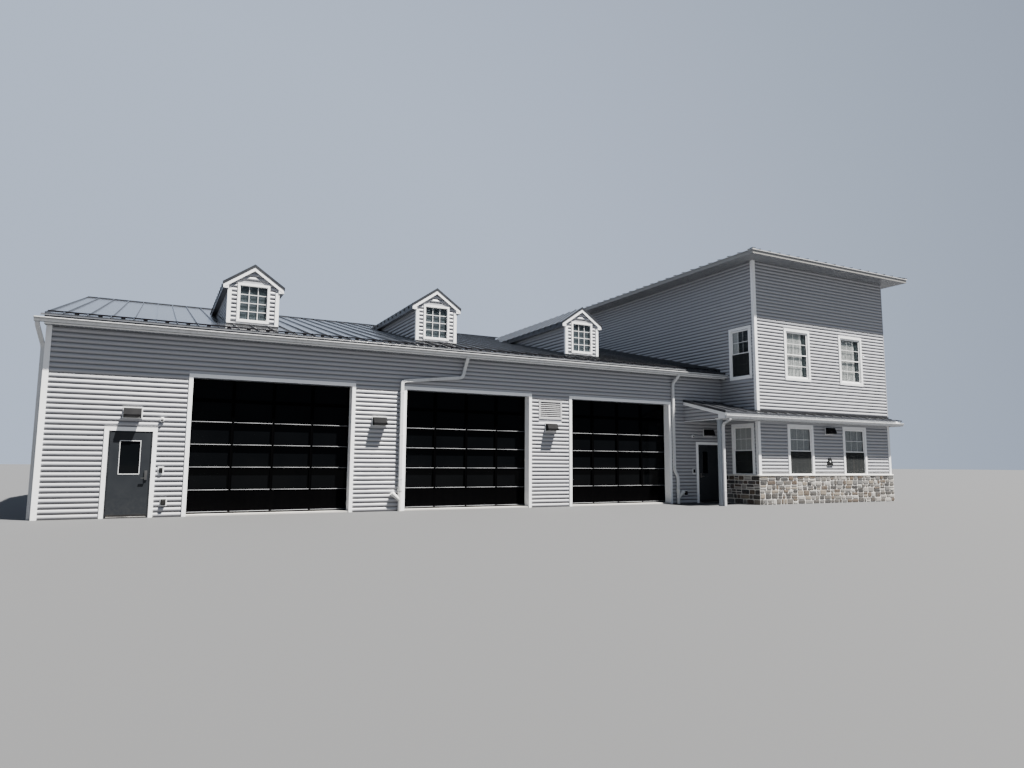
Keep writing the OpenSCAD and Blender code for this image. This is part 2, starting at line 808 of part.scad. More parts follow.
// One sectional door: stacked sections of rails and stiles, the lowest one solid.
module bay_door(i) {
    w = bay_w + 2 * bay_lap;
    section_h = bay_h / bay_sections;
    pane_w = (w - section_bar) / bay_columns - section_bar;
    joint = 3;
    color(door_color) translate([bay_xs[i] - bay_lap, bay_door_y, floor_t]) difference() {
        cube([w, section_t, bay_h]);
        for (row = [1 : bay_sections - 1], column = [0 : bay_columns - 1])
            translate([section_bar + column * (pane_w + section_bar), -1, row * section_h + section_bar * 0.6])
                cube([pane_w, section_t + 2, section_h - 1.2 * section_bar]);
        for (row = [1 : bay_sections - 1])
            translate([-1, -1, row * section_h - joint / 2]) cube([w + 2, 7, joint]);
    }
}

module bay_door_1() {
    bay_door(0);
}

module bay_door_2() {
    bay_door(1);
}

module bay_door_3() {
    bay_door(2);
}

module bay_door_glass() {
    color(glass_color) for (x = bay_xs)
        span([x - bay_lap, bay_door_y + section_t, floor_t + bay_h / bay_sections],
             [x + bay_w + bay_lap, bay_door_y + section_t + glass_t, floor_t + bay_h]);
}

// White boards outside, linings through the wall and the strips that the sections run against.
module bay_door_trim() {
    color(trim_color) for (x = bay_xs) {
        along_y(-board_out, 0) door_arch(x, bay_w, bay_h, board_w);
        difference() {
            union() {
                along_y(-1, hall_wall + 1) door_arch(x, bay_w, bay_h, lining_t);
                along_y(hall_wall, bay_door_y) door_arch(x, bay_w, bay_h, board_w);
            }
            span([x - board_w - 1, 0, -1], [x + bay_w + board_w + 1, bay_door_y + 1, floor_t]);
        }
    }
}

// One hinge half with its knuckle on the hinge axis and a plate back to the face at x_to.
module knuckle(z, x_to) {
    translate([hinge_x, hinge_y, z]) cylinder(d = knuckle_d, h = knuckle_h);
    low = min(hinge_x, x_to);
    span([low, leaf_y - 3, z], [max(hinge_x, x_to), leaf_y, z + knuckle_h]);
}

// A steel frame with its stops, hinge halves and pins.
module door_frame() {
    stop_y = leaf_y + leaf_t + leaf_gap;
    sill = frame_face + stop_w;
    plate_x = 4;
    along_y(leaf_y, hall_wall)
        door_arch(frame_face, door_open_w - 2 * frame_face, door_open_h - frame_face, frame_face);
    along_y(stop_y, hall_wall)
        door_arch(sill, door_open_w - 2 * sill, door_open_h - sill, sill);
    for (z = hinge_heights) {
        knuckle(z, plate_x);
        translate([hinge_x, hinge_y, z + knuckle_h]) cylinder(d = pin_d, h = pin_l);
    }
}

module door_frames() {
    color(leaf_color) {
        translate([side_door_x, 0, 0]) door_frame();
        right_hung() door_frame();
    }
}

module door_trim() {
    color(trim_color) for (x = door_xs)
        along_y(-board_out, 0) door_arch(x, door_open_w, door_open_h, board_w);
}

// A hinged steel leaf; glass gives the start and width of its glazed opening.
module leaf(glass) {
    color(leaf_color) difference() {
        union() {
            span([leaf_x, leaf_y, leaf_base], [leaf_x + leaf_w, leaf_y + leaf_t, leaf_top]);
            for (z = hinge_heights) knuckle(z + knuckle_h + hinge_clear, leaf_x + 30);
        }
        span([glass[0], leaf_y - 1, vision_z], [glass[0] + glass[1], leaf_y + leaf_t + 1, vision_z + vision_h]);
        for (z = hinge_heights)
            translate([hinge_x, hinge_y, z + knuckle_h - 1])
                cylinder(d = pin_d + 2 * hinge_clear, h = pin_l + 1 + 2 * hinge_clear);
    }
}

// The glass of a leaf.
module vision(glass) {
    mid = leaf_y + (leaf_t - glass_t) / 2;
    color(glass_color) span([glass[0], mid, vision_z], [glass[0] + glass[1], mid + glass_t, vision_z + vision_h]);
}

// Lever sets on both faces of a leaf, on a tall outer case.
module lock_set(case_h) {
    x = leaf_x + leaf_w - 70;
    z = 1000;
    case_w = 62;
    case_d = 24;
    rose_d = 12;
    spindle_r = 11;
    spindle = 34;
    lever = 110;
    grip = 18;
    inside = leaf_y + leaf_t + rose_d;
    color("silver") {
        span([x - case_w / 2, leaf_y - case_d, z - 50], [x + case_w / 2, leaf_y, z - 50 + case_h]);
        translate([x, leaf_y - case_d, z]) rotate([90, 0, 0]) cylinder(r = spindle_r, h = spindle);
        span([x - lever, leaf_y - case_d - spindle - grip / 2, z - grip / 2],
             [x + spindle_r, leaf_y - case_d - spindle + grip / 2, z + grip / 2]);
        translate([x, leaf_y + leaf_t, z]) rotate([-90, 0, 0]) cylinder(r = 28, h = rose_d);
        translate([x, inside, z]) rotate([-90, 0, 0]) cylinder(r = spindle_r, h = spindle);
        span([x - lever, inside + spindle - grip / 2, z - grip / 2],
             [x + spindle_r, inside + spindle + grip / 2, z + grip / 2]);
    }
}

// Turns a door set so that it is hinged on the right of the porch entrance.
module right_hung() {
    translate([entrance_x + door_open_w, 0, 0]) mirror([1, 0, 0]) children();
}

module side_door_leaf() {
    translate([side_door_x, 0, 0]) leaf(side_glass);
}

module side_door_glass() {
    translate([side_door_x, 0, 0]) vision(side_glass);
}

module side_door_lock() {
    translate([side_door_x, 0, 0]) lock_set(240);
}

module entrance_leaf() {
    right_hung() leaf(entrance_glass_at);
}

module entrance_glass() {
    right_hung() vision(entrance_glass_at);
}

module entrance_lock() {
    right_hung() lock_set(160);
}

module wing_ceiling() {
    color(trim_color)
        span([wing_x - wing_eave, wing_y - wing_eave, wing_soffit],
             [wing_right + wing_eave, wing_back + wing_eave, wing_roof_z]);
}

// The hipped mass of the wing roof over its own corner, with its top lifted by lift.
module wing_hip(lift) {
    w = wing_roof_w;
    len = wing_roof_len;
    edge = 30;
    intersection() {
        along_y(0, len) polygon([[0, 0], [w, 0], [w, edge + lift], [w / 2, edge + lift + wing_roof_rise],
                                 [0, edge + lift]]);
        along_x(0, w) polygon([[0, 0], [len, 0], [len, edge + lift], [len - w / 2, edge + lift + wing_roof_rise],
                               [w / 2, edge + lift + wing_roof_rise], [0, edge + lift]]);
    }
}

// Puts a roof drawn over its own corner in its place on the wing.
module on_wing() {
    translate([wing_x - wing_eave - drip, wing_y - wing_eave - drip, wing_roof_z]) children();
}

// Strips of roof along the hips and the ridge, in plan.
module hip_strips() {
    half = 110;
    w = wing_roof_w;
    len = wing_roof_len;
    for (turn = [0, 1]) translate([w * turn, len * turn]) rotate([0, 0, 180 * turn]) {
        rotate([0, 0, 45]) translate([0, -half]) square([w * sqrt(0.5), 2 * half]);
        translate([w, 0]) rotate([0, 0, 135]) translate([0, -half]) square([w * sqrt(0.5), 2 * half]);
    }
    translate([w / 2 - half, w / 2 - half]) square([2 * half, len - w + 2 * half]);
}

// Folded caps over the hips and the ridge of the wing roof.
module wing_caps() {
    color(metal_color) on_wing() difference() {
        intersection() {
            wing_hip(seam_h + cap_t);
            raised(0, far) hip_strips();
        }
        wing_hip(0);
    }
}

module wing_roof() {
    w = wing_roof_w;
    len = wing_roof_len;
    color(metal_color) on_wing() {
        difference() {
            wing_hip(0);
            translate([0, 0, -roof_t]) wing_hip(0);
        }
        intersection() {
            difference() {
                wing_hip(seam_h);
                translate([0, 0, -1]) wing_hip(0);
                difference() {
                    raised(0, far) hip_strips();
                    wing_hip(0);
                }
            }
            union() {
                intersection() {
                    raised(0, far) union() {
                        polygon([[0, 0], [w, 0], [w / 2, w / 2]]);
                        polygon([[0, len], [w, len], [w / 2, len - w / 2]]);
                    }
                    for (x = [w / 2 - floor(w / 2 / seam_step) * seam_step : seam_step : w])
                        span([x - seam_w / 2, 0, 0], [x + seam_w / 2, len, far]);
                }
                intersection() {
                    raised(0, far) union() {
                        polygon([[0, 0], [w / 2, w / 2], [w / 2, len - w / 2], [0, len]]);
                        polygon([[w, 0], [w / 2, w / 2], [w / 2, len - w / 2], [w, len]]);
                    }
                    for (y = [seam_step / 2 : seam_step : len])
                        span([0, y - seam_w / 2, 0], [w, y + seam_w / 2, far]);
                }
            }
        }
    }
}

// An L-shaped corner board on the corner at x, y whose walls face the sides sx and sy.
module corner_board(x, y, sx, sy, z0, z1) {
    raised(z0, z1) translate([x, y]) {
        scale([sx, sy]) {
            translate([-board_w, 0]) square([board_w + board_out, board_out]);
            translate([0, -board_w]) square([board_out, board_w]);
        }
    }
}

module corner_boards() {
    color(trim_color) {
        corner_board(0, 0, -1, -1, 0, hall_soffit);
        corner_board(0, hall_depth, -1, 1, 0, hall_soffit);
        corner_board(wing_x, wing_y, -1, -1, stone_h, beam_z);
        corner_board(wing_x, wing_y, -1, -1, pent_wall_z + seam_h, wing_soffit);
        corner_board(wing_right, wing_y, 1, -1, stone_h, pent_soffit);
        corner_board(wing_right, wing_back, 1, 1, stone_h, pent_soffit);
    }
}

// Plan of a facing of thickness t round the wing's outer walls.
module wing_facing(t) {
    difference() {
        translate([wing_x - t, wing_y - t]) square([wing_w + 2 * t, wing_len + 2 * t]);
        translate([wing_x, wing_y]) square([wing_w, wing_len]);
        translate([wing_x - 2 * t, 0]) square([2 * t, wing_len + 2 * t]);
        translate([wing_x - 2 * t, wing_back]) square([2 * t, 2 * t]);
    }
}

module stone_base() {
    color(stone_color) raised(0, stone_h - cap_h) wing_facing(stone_t);
}

module stone_cap() {
    color(stone_color) raised(stone_h - cap_h, stone_h) wing_facing(stone_t + cap_out);
}

// Puts its children, drawn with their outer face on y = 0, in every opening of one row.
module in_openings(z, h) {
    for (x = front_win_xs) {
        translate([x - win_w / 2, wing_y, z]) pane_of(win_w, h) children();
        translate([x + win_w / 2, wing_back, z]) rotate([0, 0, 180]) pane_of(win_w, h) children();
    }
    for (y = right_win_ys)
        translate([wing_right, y - win_w / 2, z]) rotate([0, 0, 90]) pane_of(win_w, h) children();
    translate([wing_x, wing_y + side_win_y + side_win_w / 2, z]) rotate([0, 0, -90])
        pane_of(side_win_w, h) children();
}

// Hands the opening's width and height to its children.
module pane_of(w, h) {
    $open_w = w;
    $open_h = h;
    children();
}

module window_trim() {
    color(trim_color) {
        in_openings(stone_h, low_win_h) lower_surround($open_w, $open_h);
        in_openings(high_win_z, high_win_h) surround($open_w, $open_h);
    }
}

module wing_windows() {
    color(trim_color) for (row = win_rows) in_openings(row[0], row[1]) sash($open_w, $open_h);
}

// A sheet of glass behind a window frame.
module sheet_of_glass() {
    span([0, sash_t, 0], [$open_w, sash_t + glass_t, $open_h]);
}

// The glass of every fixed window, in the wing and in the dormers.
module window_glass() {
    color(glass_color) {
        for (row = win_rows) in_openings(row[0], row[1]) sheet_of_glass();
        for (x = dormer_xs)
            translate([x - dormer_win_w / 2, dormer_y + dormer_frame_t, dormer_win_z])
                cube([dormer_win_w, glass_t, dormer_win_h]);
    }
}

// Section of the pent roof that falls towards the front; lift raises its top for the seams.
module pent_front_section(y1, low, high) {
    polygon([[pent_front, pent_top(pent_front) + low], [y1, pent_top(y1) + low],
             [y1, pent_top(y1) + high], [pent_front, pent_top(pent_front) + high]]);
}

// Section of the pent roof that falls towards the right.
module pent_right_section(low, high) {
    polygon([[wing_right, pent_wall_z + low], [pent_right, pent_wall_z - pitch * pent_out + low],
             [pent_right, pent_wall_z - pitch * pent_out + high], [wing_right, pent_wall_z + high]]);
}

// The pent roof from low to high above its own surface.
module pent_layer(low, high) {
    along_x(pent_left, wing_x) pent_front_section(0, low, high);
    along_x(wing_x - 1, wing_right) pent_front_section(wing_y, low, high);
    along_y(wing_y, wing_back) pent_right_section(low, high);
    intersection() {
        along_x(wing_right - 1, pent_right) pent_front_section(wing_y + 1, low, high);
        along_y(pent_front, wing_y + 1) pent_right_section(low, high);
    }
}

module pent_roof() {
    color(metal_color) {
        pent_layer(-pent_t, 0);
        intersection() {
            pent_layer(-1, seam_h * 0.7);
            union() {
                for (x = [pent_left + seam_w / 2 : seam_step : wing_right])
                    span([x - seam_w / 2, pent_front, 0], [x + seam_w / 2, 0, far]);
                for (y = [wing_y + seam_step / 2 : seam_step : wing_back])
                    span([wing_right, y - seam_w / 2, 0], [pent_right, y + seam_w / 2, far]);
            }
        }
    }
}

module pent_eaves() {
    rake_h = 120;
    top = pent_top(pent_front) - pent_t;
    face = pent_front + drip;
    side = pent_right - drip;
    color(trim_color) {
        raised(pent_soffit, pent_soffit + eave_board) {
            translate([porch_x, face]) square([side - porch_x, wing_y - face]);
            translate([wing_right, wing_y - 1]) square([side - wing_right, wing_len + 1]);
            translate([porch_x + post_w, wing_y + post_w])
                square([wing_x - porch_x - post_w, wing_fwd - post_w]);
        }
        span([porch_x, face, pent_soffit + eave_board], [side, face + eave_board, top]);
        span([side - eave_board, face + eave_board, pent_soffit + eave_board], [side, wing_back, top]);
        along_x(porch_x - board_out, porch_x) polygon([
            [face, pent_soffit], [wing_y, pent_soffit], [wing_y, pent_top(wing_y) - pent_t - rake_h],
            [0, pent_top(0) - pent_t - rake_h], [0, pent_top(0) - pent_t], [face, pent_top(face) - pent_t]
        ]);
    }
}

// The pent roof's gutter with the downspout beside the porch post.
module pent_gutter() {
    z = pent_soffit + 10;
    face = pent_front + drip;
    past = 30;
    start = porch_x - board_out - past;
    end = pent_right - drip + past;
    outlet = 50;
    spout_x = porch_x + post_w - 40;
    mid_y = face - gutter_w * 0.3 - spout_d / 2;
    post_y = wing_y - post_foot - spout_d;
    low_z = z - outlet - 230;
    color(trim_color) {
        translate([0, face, z]) {
            along_x(start, end) gutter_section();
            for (x = [start, end - gutter_t]) along_x(x, x + gutter_t) gutter_outline();
        }
        span([spout_x, mid_y, z - outlet], [spout_x + spout_w, mid_y + spout_d, z + 1]);
        spout([spout_x, mid_y, z - outlet], [spout_x, post_y, low_z]);
        span([spout_x, post_y, 0], [spout_x + spout_w, post_y + spout_d, low_z + 1]);
    }
}

module porch_beams() {
    inner = wing_y + post_w;
    color(trim_color) {
        span([porch_x, wing_y, beam_z], [wing_x, inner, beam_top]);
        span([porch_x, inner, beam_z], [porch_x + post_w, 0, pent_soffit]);
        span([porch_x + post_w / 2, inner, beam_z], [porch_x + post_w, 0, beam_top]);
    }
}

// The clad end wall over the porch's left side.
module porch_gable() {
    inner = wing_y + post_w;
    color(siding_color) along_x(porch_x, porch_x + post_w / 2) polygon([
        [wing_y, beam_top], [inner, beam_top], [inner, pent_soffit], [0, pent_soffit],
        [0, pent_top(0) - pent_t], [wing_y, pent_top(wing_y) - pent_t]
    ]);
}

module porch_post() {
    foot = post_foot;
    foot_h = 140;
    color(trim_color) {
        span([porch_x, wing_y, 0], [porch_x + post_w, wing_y + post_w, beam_z]);
        span([porch_x - foot, wing_y - foot, 0], [porch_x + post_w + foot, wing_y + post_w + foot, foot_h]);
    }
}

// A wall light whose front leans back towards its top, middle at x on the face y.
module wall_light(x, y, z) {
    along_x(x - light_w / 2, x + light_w / 2) polygon([
        [y, z], [y - light_d, z], [y - light_d, z + 60], [y - light_d * 0.62, z + light_h], [y, z + light_h]
    ]);
}

module wall_lights() {
    aside = 50;
    higher = 120;
    color(door_color) {
        for (x = door_xs) wall_light(x + door_open_w / 2, 0, door_light_z);
        for (i = [1, 2]) wall_light(bay_xs[i] - light_aside, 0, pier_light_z);
        wall_light(wing_mid_x + aside, wing_y, door_light_z + higher);
    }
}

// The opening for the louvre.
module vent_hole() {
    span([vent_x - vent_w / 2, -1, vent_z], [vent_x + vent_w / 2, hall_wall + 1, vent_z + vent_h]);
}

module louvre_vent() {
    flange = 28;
    flange_t = 18;
    depth = 100;
    blade_t = 12;
    blade_y = [-10, depth - 20];
    sunk = 6;
    step = (vent_h - 2 * flange) / vent_blades;
    half = vent_w / 2 - flange + sunk;
    color(siding_color) {
        translate([vent_x - vent_w / 2, 0, vent_z]) {
            along_y(-flange_t, 0) translate([-flange, -flange])
                ring2d(vent_w + 2 * flange, vent_h + 2 * flange, 2 * flange);
            along_y(-1, depth) ring2d(vent_w, vent_h, flange);
        }
        for (i = [0 : vent_blades - 1])
            translate([0, 0, vent_z + flange - sunk + i * step]) along_x(vent_x - half, vent_x + half)
                polygon([[blade_y[0], 0], [blade_y[0], blade_t], [blade_y[1], step],
                         [blade_y[1], step - blade_t]]);
    }
}

// A small box on the wall face y with its middle at x, z; size gives width, depth and height.
module wall_box(x, y, z, size) {
    span([x - size[0] / 2, y - size[1], z - size[2] / 2], [x + size[0] / 2, y, z + size[2] / 2]);
}

module wall_boxes() {
    reader = [90, 45, 150];
    outlet = [130, 70, 150];
    alarm = [190, 60, 190];
    sensor = [120, 50, 60];
    aside = 130;
    outlet_aside = 100;
    sensor_aside = [-40, -20];
    alarm_aside = 20;
    left_x = side_door_x + door_open_w + board_w + aside;
    right_x = entrance_x - board_w - aside;
    color("dimgray") {
        wall_box(left_x, 0, reader_z, reader);
        wall_box(left_x + outlet_aside, 0, outlet_box_z, outlet);
        wall_box(right_x, 0, reader_z, reader);
        wall_box(spout_3_x + outlet_past, 0, outlet_box_z, outlet);
        wall_box(wing_mid_x + alarm_aside, wing_y, alarm_z, alarm);
    }
    color("white") {
        wall_box(left_x + sensor_aside[0], 0, sensor_z, sensor);
        wall_box(right_x + sensor_aside[1], 0, sensor_z, sensor);
    }
}

placed() ground_floors();
placed() upper_floor();
placed() hall_front_piers();
placed() hall_front_header();
placed() hall_over_doors();
placed() hall_left_wall();
placed() hall_back_wall();
placed() wing_front_wall();
placed() wing_left_wall();
placed() wing_right_wall();
placed() wing_back_wall();
placed() hall_roof_front();
placed() hall_roof_back();
placed() ridge_cap();
placed() hall_eaves();
placed() hall_gutters();
placed() hall_downspouts();
placed() drain_boots();
placed() snow_rail();
placed() dormer_fronts();
placed() dormer_cheeks();
placed() dormer_roofs();
placed() dormer_trim();
placed() dormer_windows();
placed() bay_door_1();
placed() bay_door_2();
placed() bay_door_3();
placed() bay_door_glass();
placed() bay_door_trim();
placed() door_frames();
placed() door_trim();
placed() side_door_leaf();
placed() side_door_glass();
placed() side_door_lock();
placed() entrance_leaf();
placed() entrance_glass();
placed() entrance_lock();
placed() wing_ceiling();
placed() wing_roof();
placed() wing_caps();
placed() corner_boards();
placed() stone_base();
placed() stone_cap();
placed() window_trim();
placed() wing_windows();
placed() window_glass();
placed() pent_roof();
placed() pent_eaves();
placed() pent_gutter();
placed() porch_beams();
placed() porch_gable();
placed() porch_post();
placed() wall_lights();
placed() louvre_vent();
placed() wall_boxes();
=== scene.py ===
"""Dresses the fire station: cladding, joinery, stonework, rain goods, fittings and finishes."""

import functools
import json
import logging
import math
import random
from dataclasses import dataclass, field
from enum import Enum
from typing import Callable, Iterable, Protocol, Sequence

import bmesh
import bpy
from mathutils import Matrix, Vector

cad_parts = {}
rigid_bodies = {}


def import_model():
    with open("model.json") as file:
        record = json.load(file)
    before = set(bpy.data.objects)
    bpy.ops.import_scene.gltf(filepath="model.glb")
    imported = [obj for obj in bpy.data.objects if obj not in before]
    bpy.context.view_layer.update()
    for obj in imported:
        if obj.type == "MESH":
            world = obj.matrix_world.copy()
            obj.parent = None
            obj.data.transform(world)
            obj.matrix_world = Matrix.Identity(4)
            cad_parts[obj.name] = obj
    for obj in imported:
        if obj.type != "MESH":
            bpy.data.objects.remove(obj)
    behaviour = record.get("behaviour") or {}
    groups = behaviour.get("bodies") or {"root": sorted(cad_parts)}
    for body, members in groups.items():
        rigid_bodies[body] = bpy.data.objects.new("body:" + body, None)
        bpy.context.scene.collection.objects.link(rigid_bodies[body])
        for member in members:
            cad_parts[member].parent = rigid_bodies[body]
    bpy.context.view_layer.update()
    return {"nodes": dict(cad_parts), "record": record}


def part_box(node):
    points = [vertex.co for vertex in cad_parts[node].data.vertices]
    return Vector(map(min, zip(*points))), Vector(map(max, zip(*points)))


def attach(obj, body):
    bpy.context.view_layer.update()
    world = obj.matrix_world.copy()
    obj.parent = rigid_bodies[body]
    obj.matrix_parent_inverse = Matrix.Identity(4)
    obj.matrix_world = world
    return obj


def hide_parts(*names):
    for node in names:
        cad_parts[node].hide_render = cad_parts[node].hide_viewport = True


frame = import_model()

log = logging.getLogger("fire_station")

Point = tuple[float, float, float]
Span = tuple[float, float]
Color = tuple[float, float, float]
Hole = tuple[float, float, float, float]
Face = tuple[int, ...]
Edge = Callable[[float], float]
Socket = bpy.types.NodeSocket

# Lengths are in metres. Places count from the hall's front left corner on the ground.
SHIFT_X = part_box("hall_left_wall")[0].x
SHIFT_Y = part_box("hall_front_piers")[0].y
HALL_LEN = 22.13
HALL_DEPTH = 21.34
HALL_ROOF_Z = 5.06
HALL_SOFFIT = 4.74
HALL_EAVE = 0.235
WING_RIGHT = 29.63
WING_FRONT = -1.81
WING_SOFFIT = 9.1
PITCH = 0.25
PENT_Z = 3.85
PENT_SOFFIT = 3.05
PORCH_X = 20.23
STONE_TOP = 1.085
BOARD = 0.1
BAY_XS = (3.335, 9.279, 15.223)
BAY_W = 4.267
BAY_H = 3.658
DOOR_XS = (1.475, 20.88)
DOOR_W = 0.99
DOOR_H = 2.19
WINDOW_ROWS = ((STONE_TOP, 1.785), (4.75, 1.8))
WINDOW_W = 1.2
FRONT_WINDOWS = (24.35, 27.45)
RIGHT_WINDOWS = tuple(0.41 + 3.72 * i for i in range(6))
SIDE_WINDOW_Y = -1.075
SIDE_WINDOW_W = 0.91
DORMER_XS = tuple(x + BAY_W / 2 - 0.52 for x in BAY_XS)
DORMER_Y = 1.8
DORMER_HALF = 0.72
DORMER_WALL_Z = 6.83
DORMER_PITCH = 0.7
DORMER_BOX_Z = 6.6115
DORMER_BOARD = 0.085
DORMER_PANE_HALF = 0.385
DORMER_PANE_ZS = (5.705, 6.735)
CORNER_POST = 0.03
# Gap that keeps two faces from lying in one plane.
SKIN = 0.001
UP = Vector((0, 0, 1))


def place(x: float, y: float, z: float) -> Vector:
    """Turns the building's own corner coordinates into the frame's.

    Args:
        x: Metres along the front from the hall's left corner.
        y: Metres back from the hall's front face.
        z: Metres above the paving.

    Returns:
        The point in the frame.
    """
    return Vector((x + SHIFT_X, y + SHIFT_Y, z))


ORIGIN = place(0, 0, 0)


def hall_top(y: float) -> float:
    """Height of the hall roof's surface at a distance y behind the front face."""
    return HALL_ROOF_Z + PITCH * min(y, HALL_DEPTH - y)


def level(height: float) -> Edge:
    """The edge of a wall that stays at one height."""
    return lambda u: height


class Slot(Enum):
    """Material slots of the record."""

    SIDING = "siding"
    TRIM = "trim"
    ROOF = "roof_metal"
    GUTTER = "gutter_metal"
    RAIL = "rail_metal"
    DRAIN = "drain_plastic"
    WINDOW_FRAME = "window_frame"
    WINDOW_GLASS = "window_glass"
    DOOR = "door_metal"
    DOOR_GLASS = "door_glass"
    LEAF = "leaf_paint"
    LEAF_GLASS = "leaf_glass"
    LOCK = "lock_metal"
    STONE = "field_stone"
    CAP = "cap_stone"
    CONCRETE = "concrete"
    LIGHT = "light_body"
    LOUVRE = "louvre_paint"
    BOX = "box_plastic"


class Body(Enum):
    """Bodies of the frame."""

    BUILDING = "building"
    SIDE_DOOR = "side_door"
    ENTRANCE_DOOR = "entrance_door"


class Grain(Enum):
    """Which way the fine relief of a finish runs."""

    EVEN = (1.0, 1.0, 1.0)
    LEVEL = (0.04, 0.04, 1.0)
    UPRIGHT = (1.0, 1.0, 0.06)


class NodeTree:
    """A tree of nodes, written a node at a time."""

    def __init__(self, tree: bpy.types.NodeTree) -> None:
        """Starts on an empty tree."""
        self.tree = tree

    def add(self, kind: str, inputs: dict | None = None, **settings: object) -> bpy.types.Node:
        """Adds a node, sets it and feeds its inputs.

        Args:
            kind: Blender's name for the node type.
            inputs: Socket name or number to a socket or a constant.
            **settings: Properties of the node.

        Returns:
            The new node.
        """
        made = self.tree.nodes.new(kind)
        for key, value in settings.items():
            setattr(made, key, value)
        for key, value in (inputs or {}).items():
            if isinstance(value, Socket):
                self.tree.links.new(value, made.inputs[key])
            else:
                made.inputs[key].default_value = value
        return made

    def math(self, operation: str, *values: object) -> Socket:
        """Result of a math node on sockets or numbers."""
        return self.add("ShaderNodeMath", dict(enumerate(values)), operation=operation).outputs[0]


class ShaderTree(NodeTree):
    """The node tree of one material."""

    def __init__(self, name: str) -> None:
        """Starts an empty material with its output.

        Args:
            name: Name of the material.
        """
        self.material = bpy.data.materials.new(name)
        self.material.use_nodes = True
        super().__init__(self.material.node_tree)
        self.tree.nodes.clear()
        self.output = self.add("ShaderNodeOutputMaterial")
        self.coords = self.add("ShaderNodeTexCoord").outputs["Object"]

    def noise(self, scale: float, detail: float = 3.0, stretch: Point = (1, 1, 1)) -> Socket:
        """Noise from 0 to 1: waves to the metre, octaves, and a factor on each axis that draws it out."""
        mapped = self.add("ShaderNodeMapping", {"Vector": self.coords, "Scale": stretch}).outputs[0]
        return self.add("ShaderNodeTexNoise", {"Vector": mapped, "Scale": scale, "Detail": detail}).outputs[0]

    def facing_down(self) -> Socket:
        """How far a face looks down, from -1 to 1."""
        normal = self.add("ShaderNodeNewGeometry").outputs["Normal"]
        return self.math("MULTIPLY", self.add("ShaderNodeSeparateXYZ", {0: normal}).outputs[2], -1.0)

    def ramp(self, value: Socket, low: float, high: float, to: Span = (0.0, 1.0)) -> Socket:
        """Maps a value from low..high to a span, clamped."""
        return self.add("ShaderNodeMapRange", {0: value, 1: low, 2: high, 3: to[0], 4: to[1]}).outputs[0]

    def mix(self, share: Socket | float, a: Socket | Color, b: Socket | Color) -> Socket:
        """Mixes two colours by the share of the second."""
        a, b = ((*v, 1.0) if isinstance(v, tuple) else v for v in (a, b))
        return self.add("ShaderNodeMix", {0: share, 6: a, 7: b}, data_type="RGBA").outputs[2]

    def height(self) -> Socket:
        """Height above the ground."""
        return self.add("ShaderNodeSeparateXYZ", {0: self.coords}).outputs[2]

    def attribute(self, name: str) -> Socket:
        """A number that the mesh carries."""
        return self.add("ShaderNodeAttribute", attribute_name=name).outputs["Fac"]

    def bump(self, height: Socket, distance: float, under: Socket | None = None) -> Socket:
        """A bump over a height in metres times distance, on top of another normal."""
        inputs = {"Height": height, "Distance": distance, "Strength": 1.0, "Normal": under}
        return self.add("ShaderNodeBump", {k: v for k, v in inputs.items() if v is not None}).outputs[0]

    def surface(self, inputs: dict) -> bpy.types.Material:
        """Closes the tree with the principled shader and returns the material."""
        self.tree.links.new(self.add("ShaderNodeBsdfPrincipled", inputs).outputs[0], self.output.inputs[0])
        return self.material


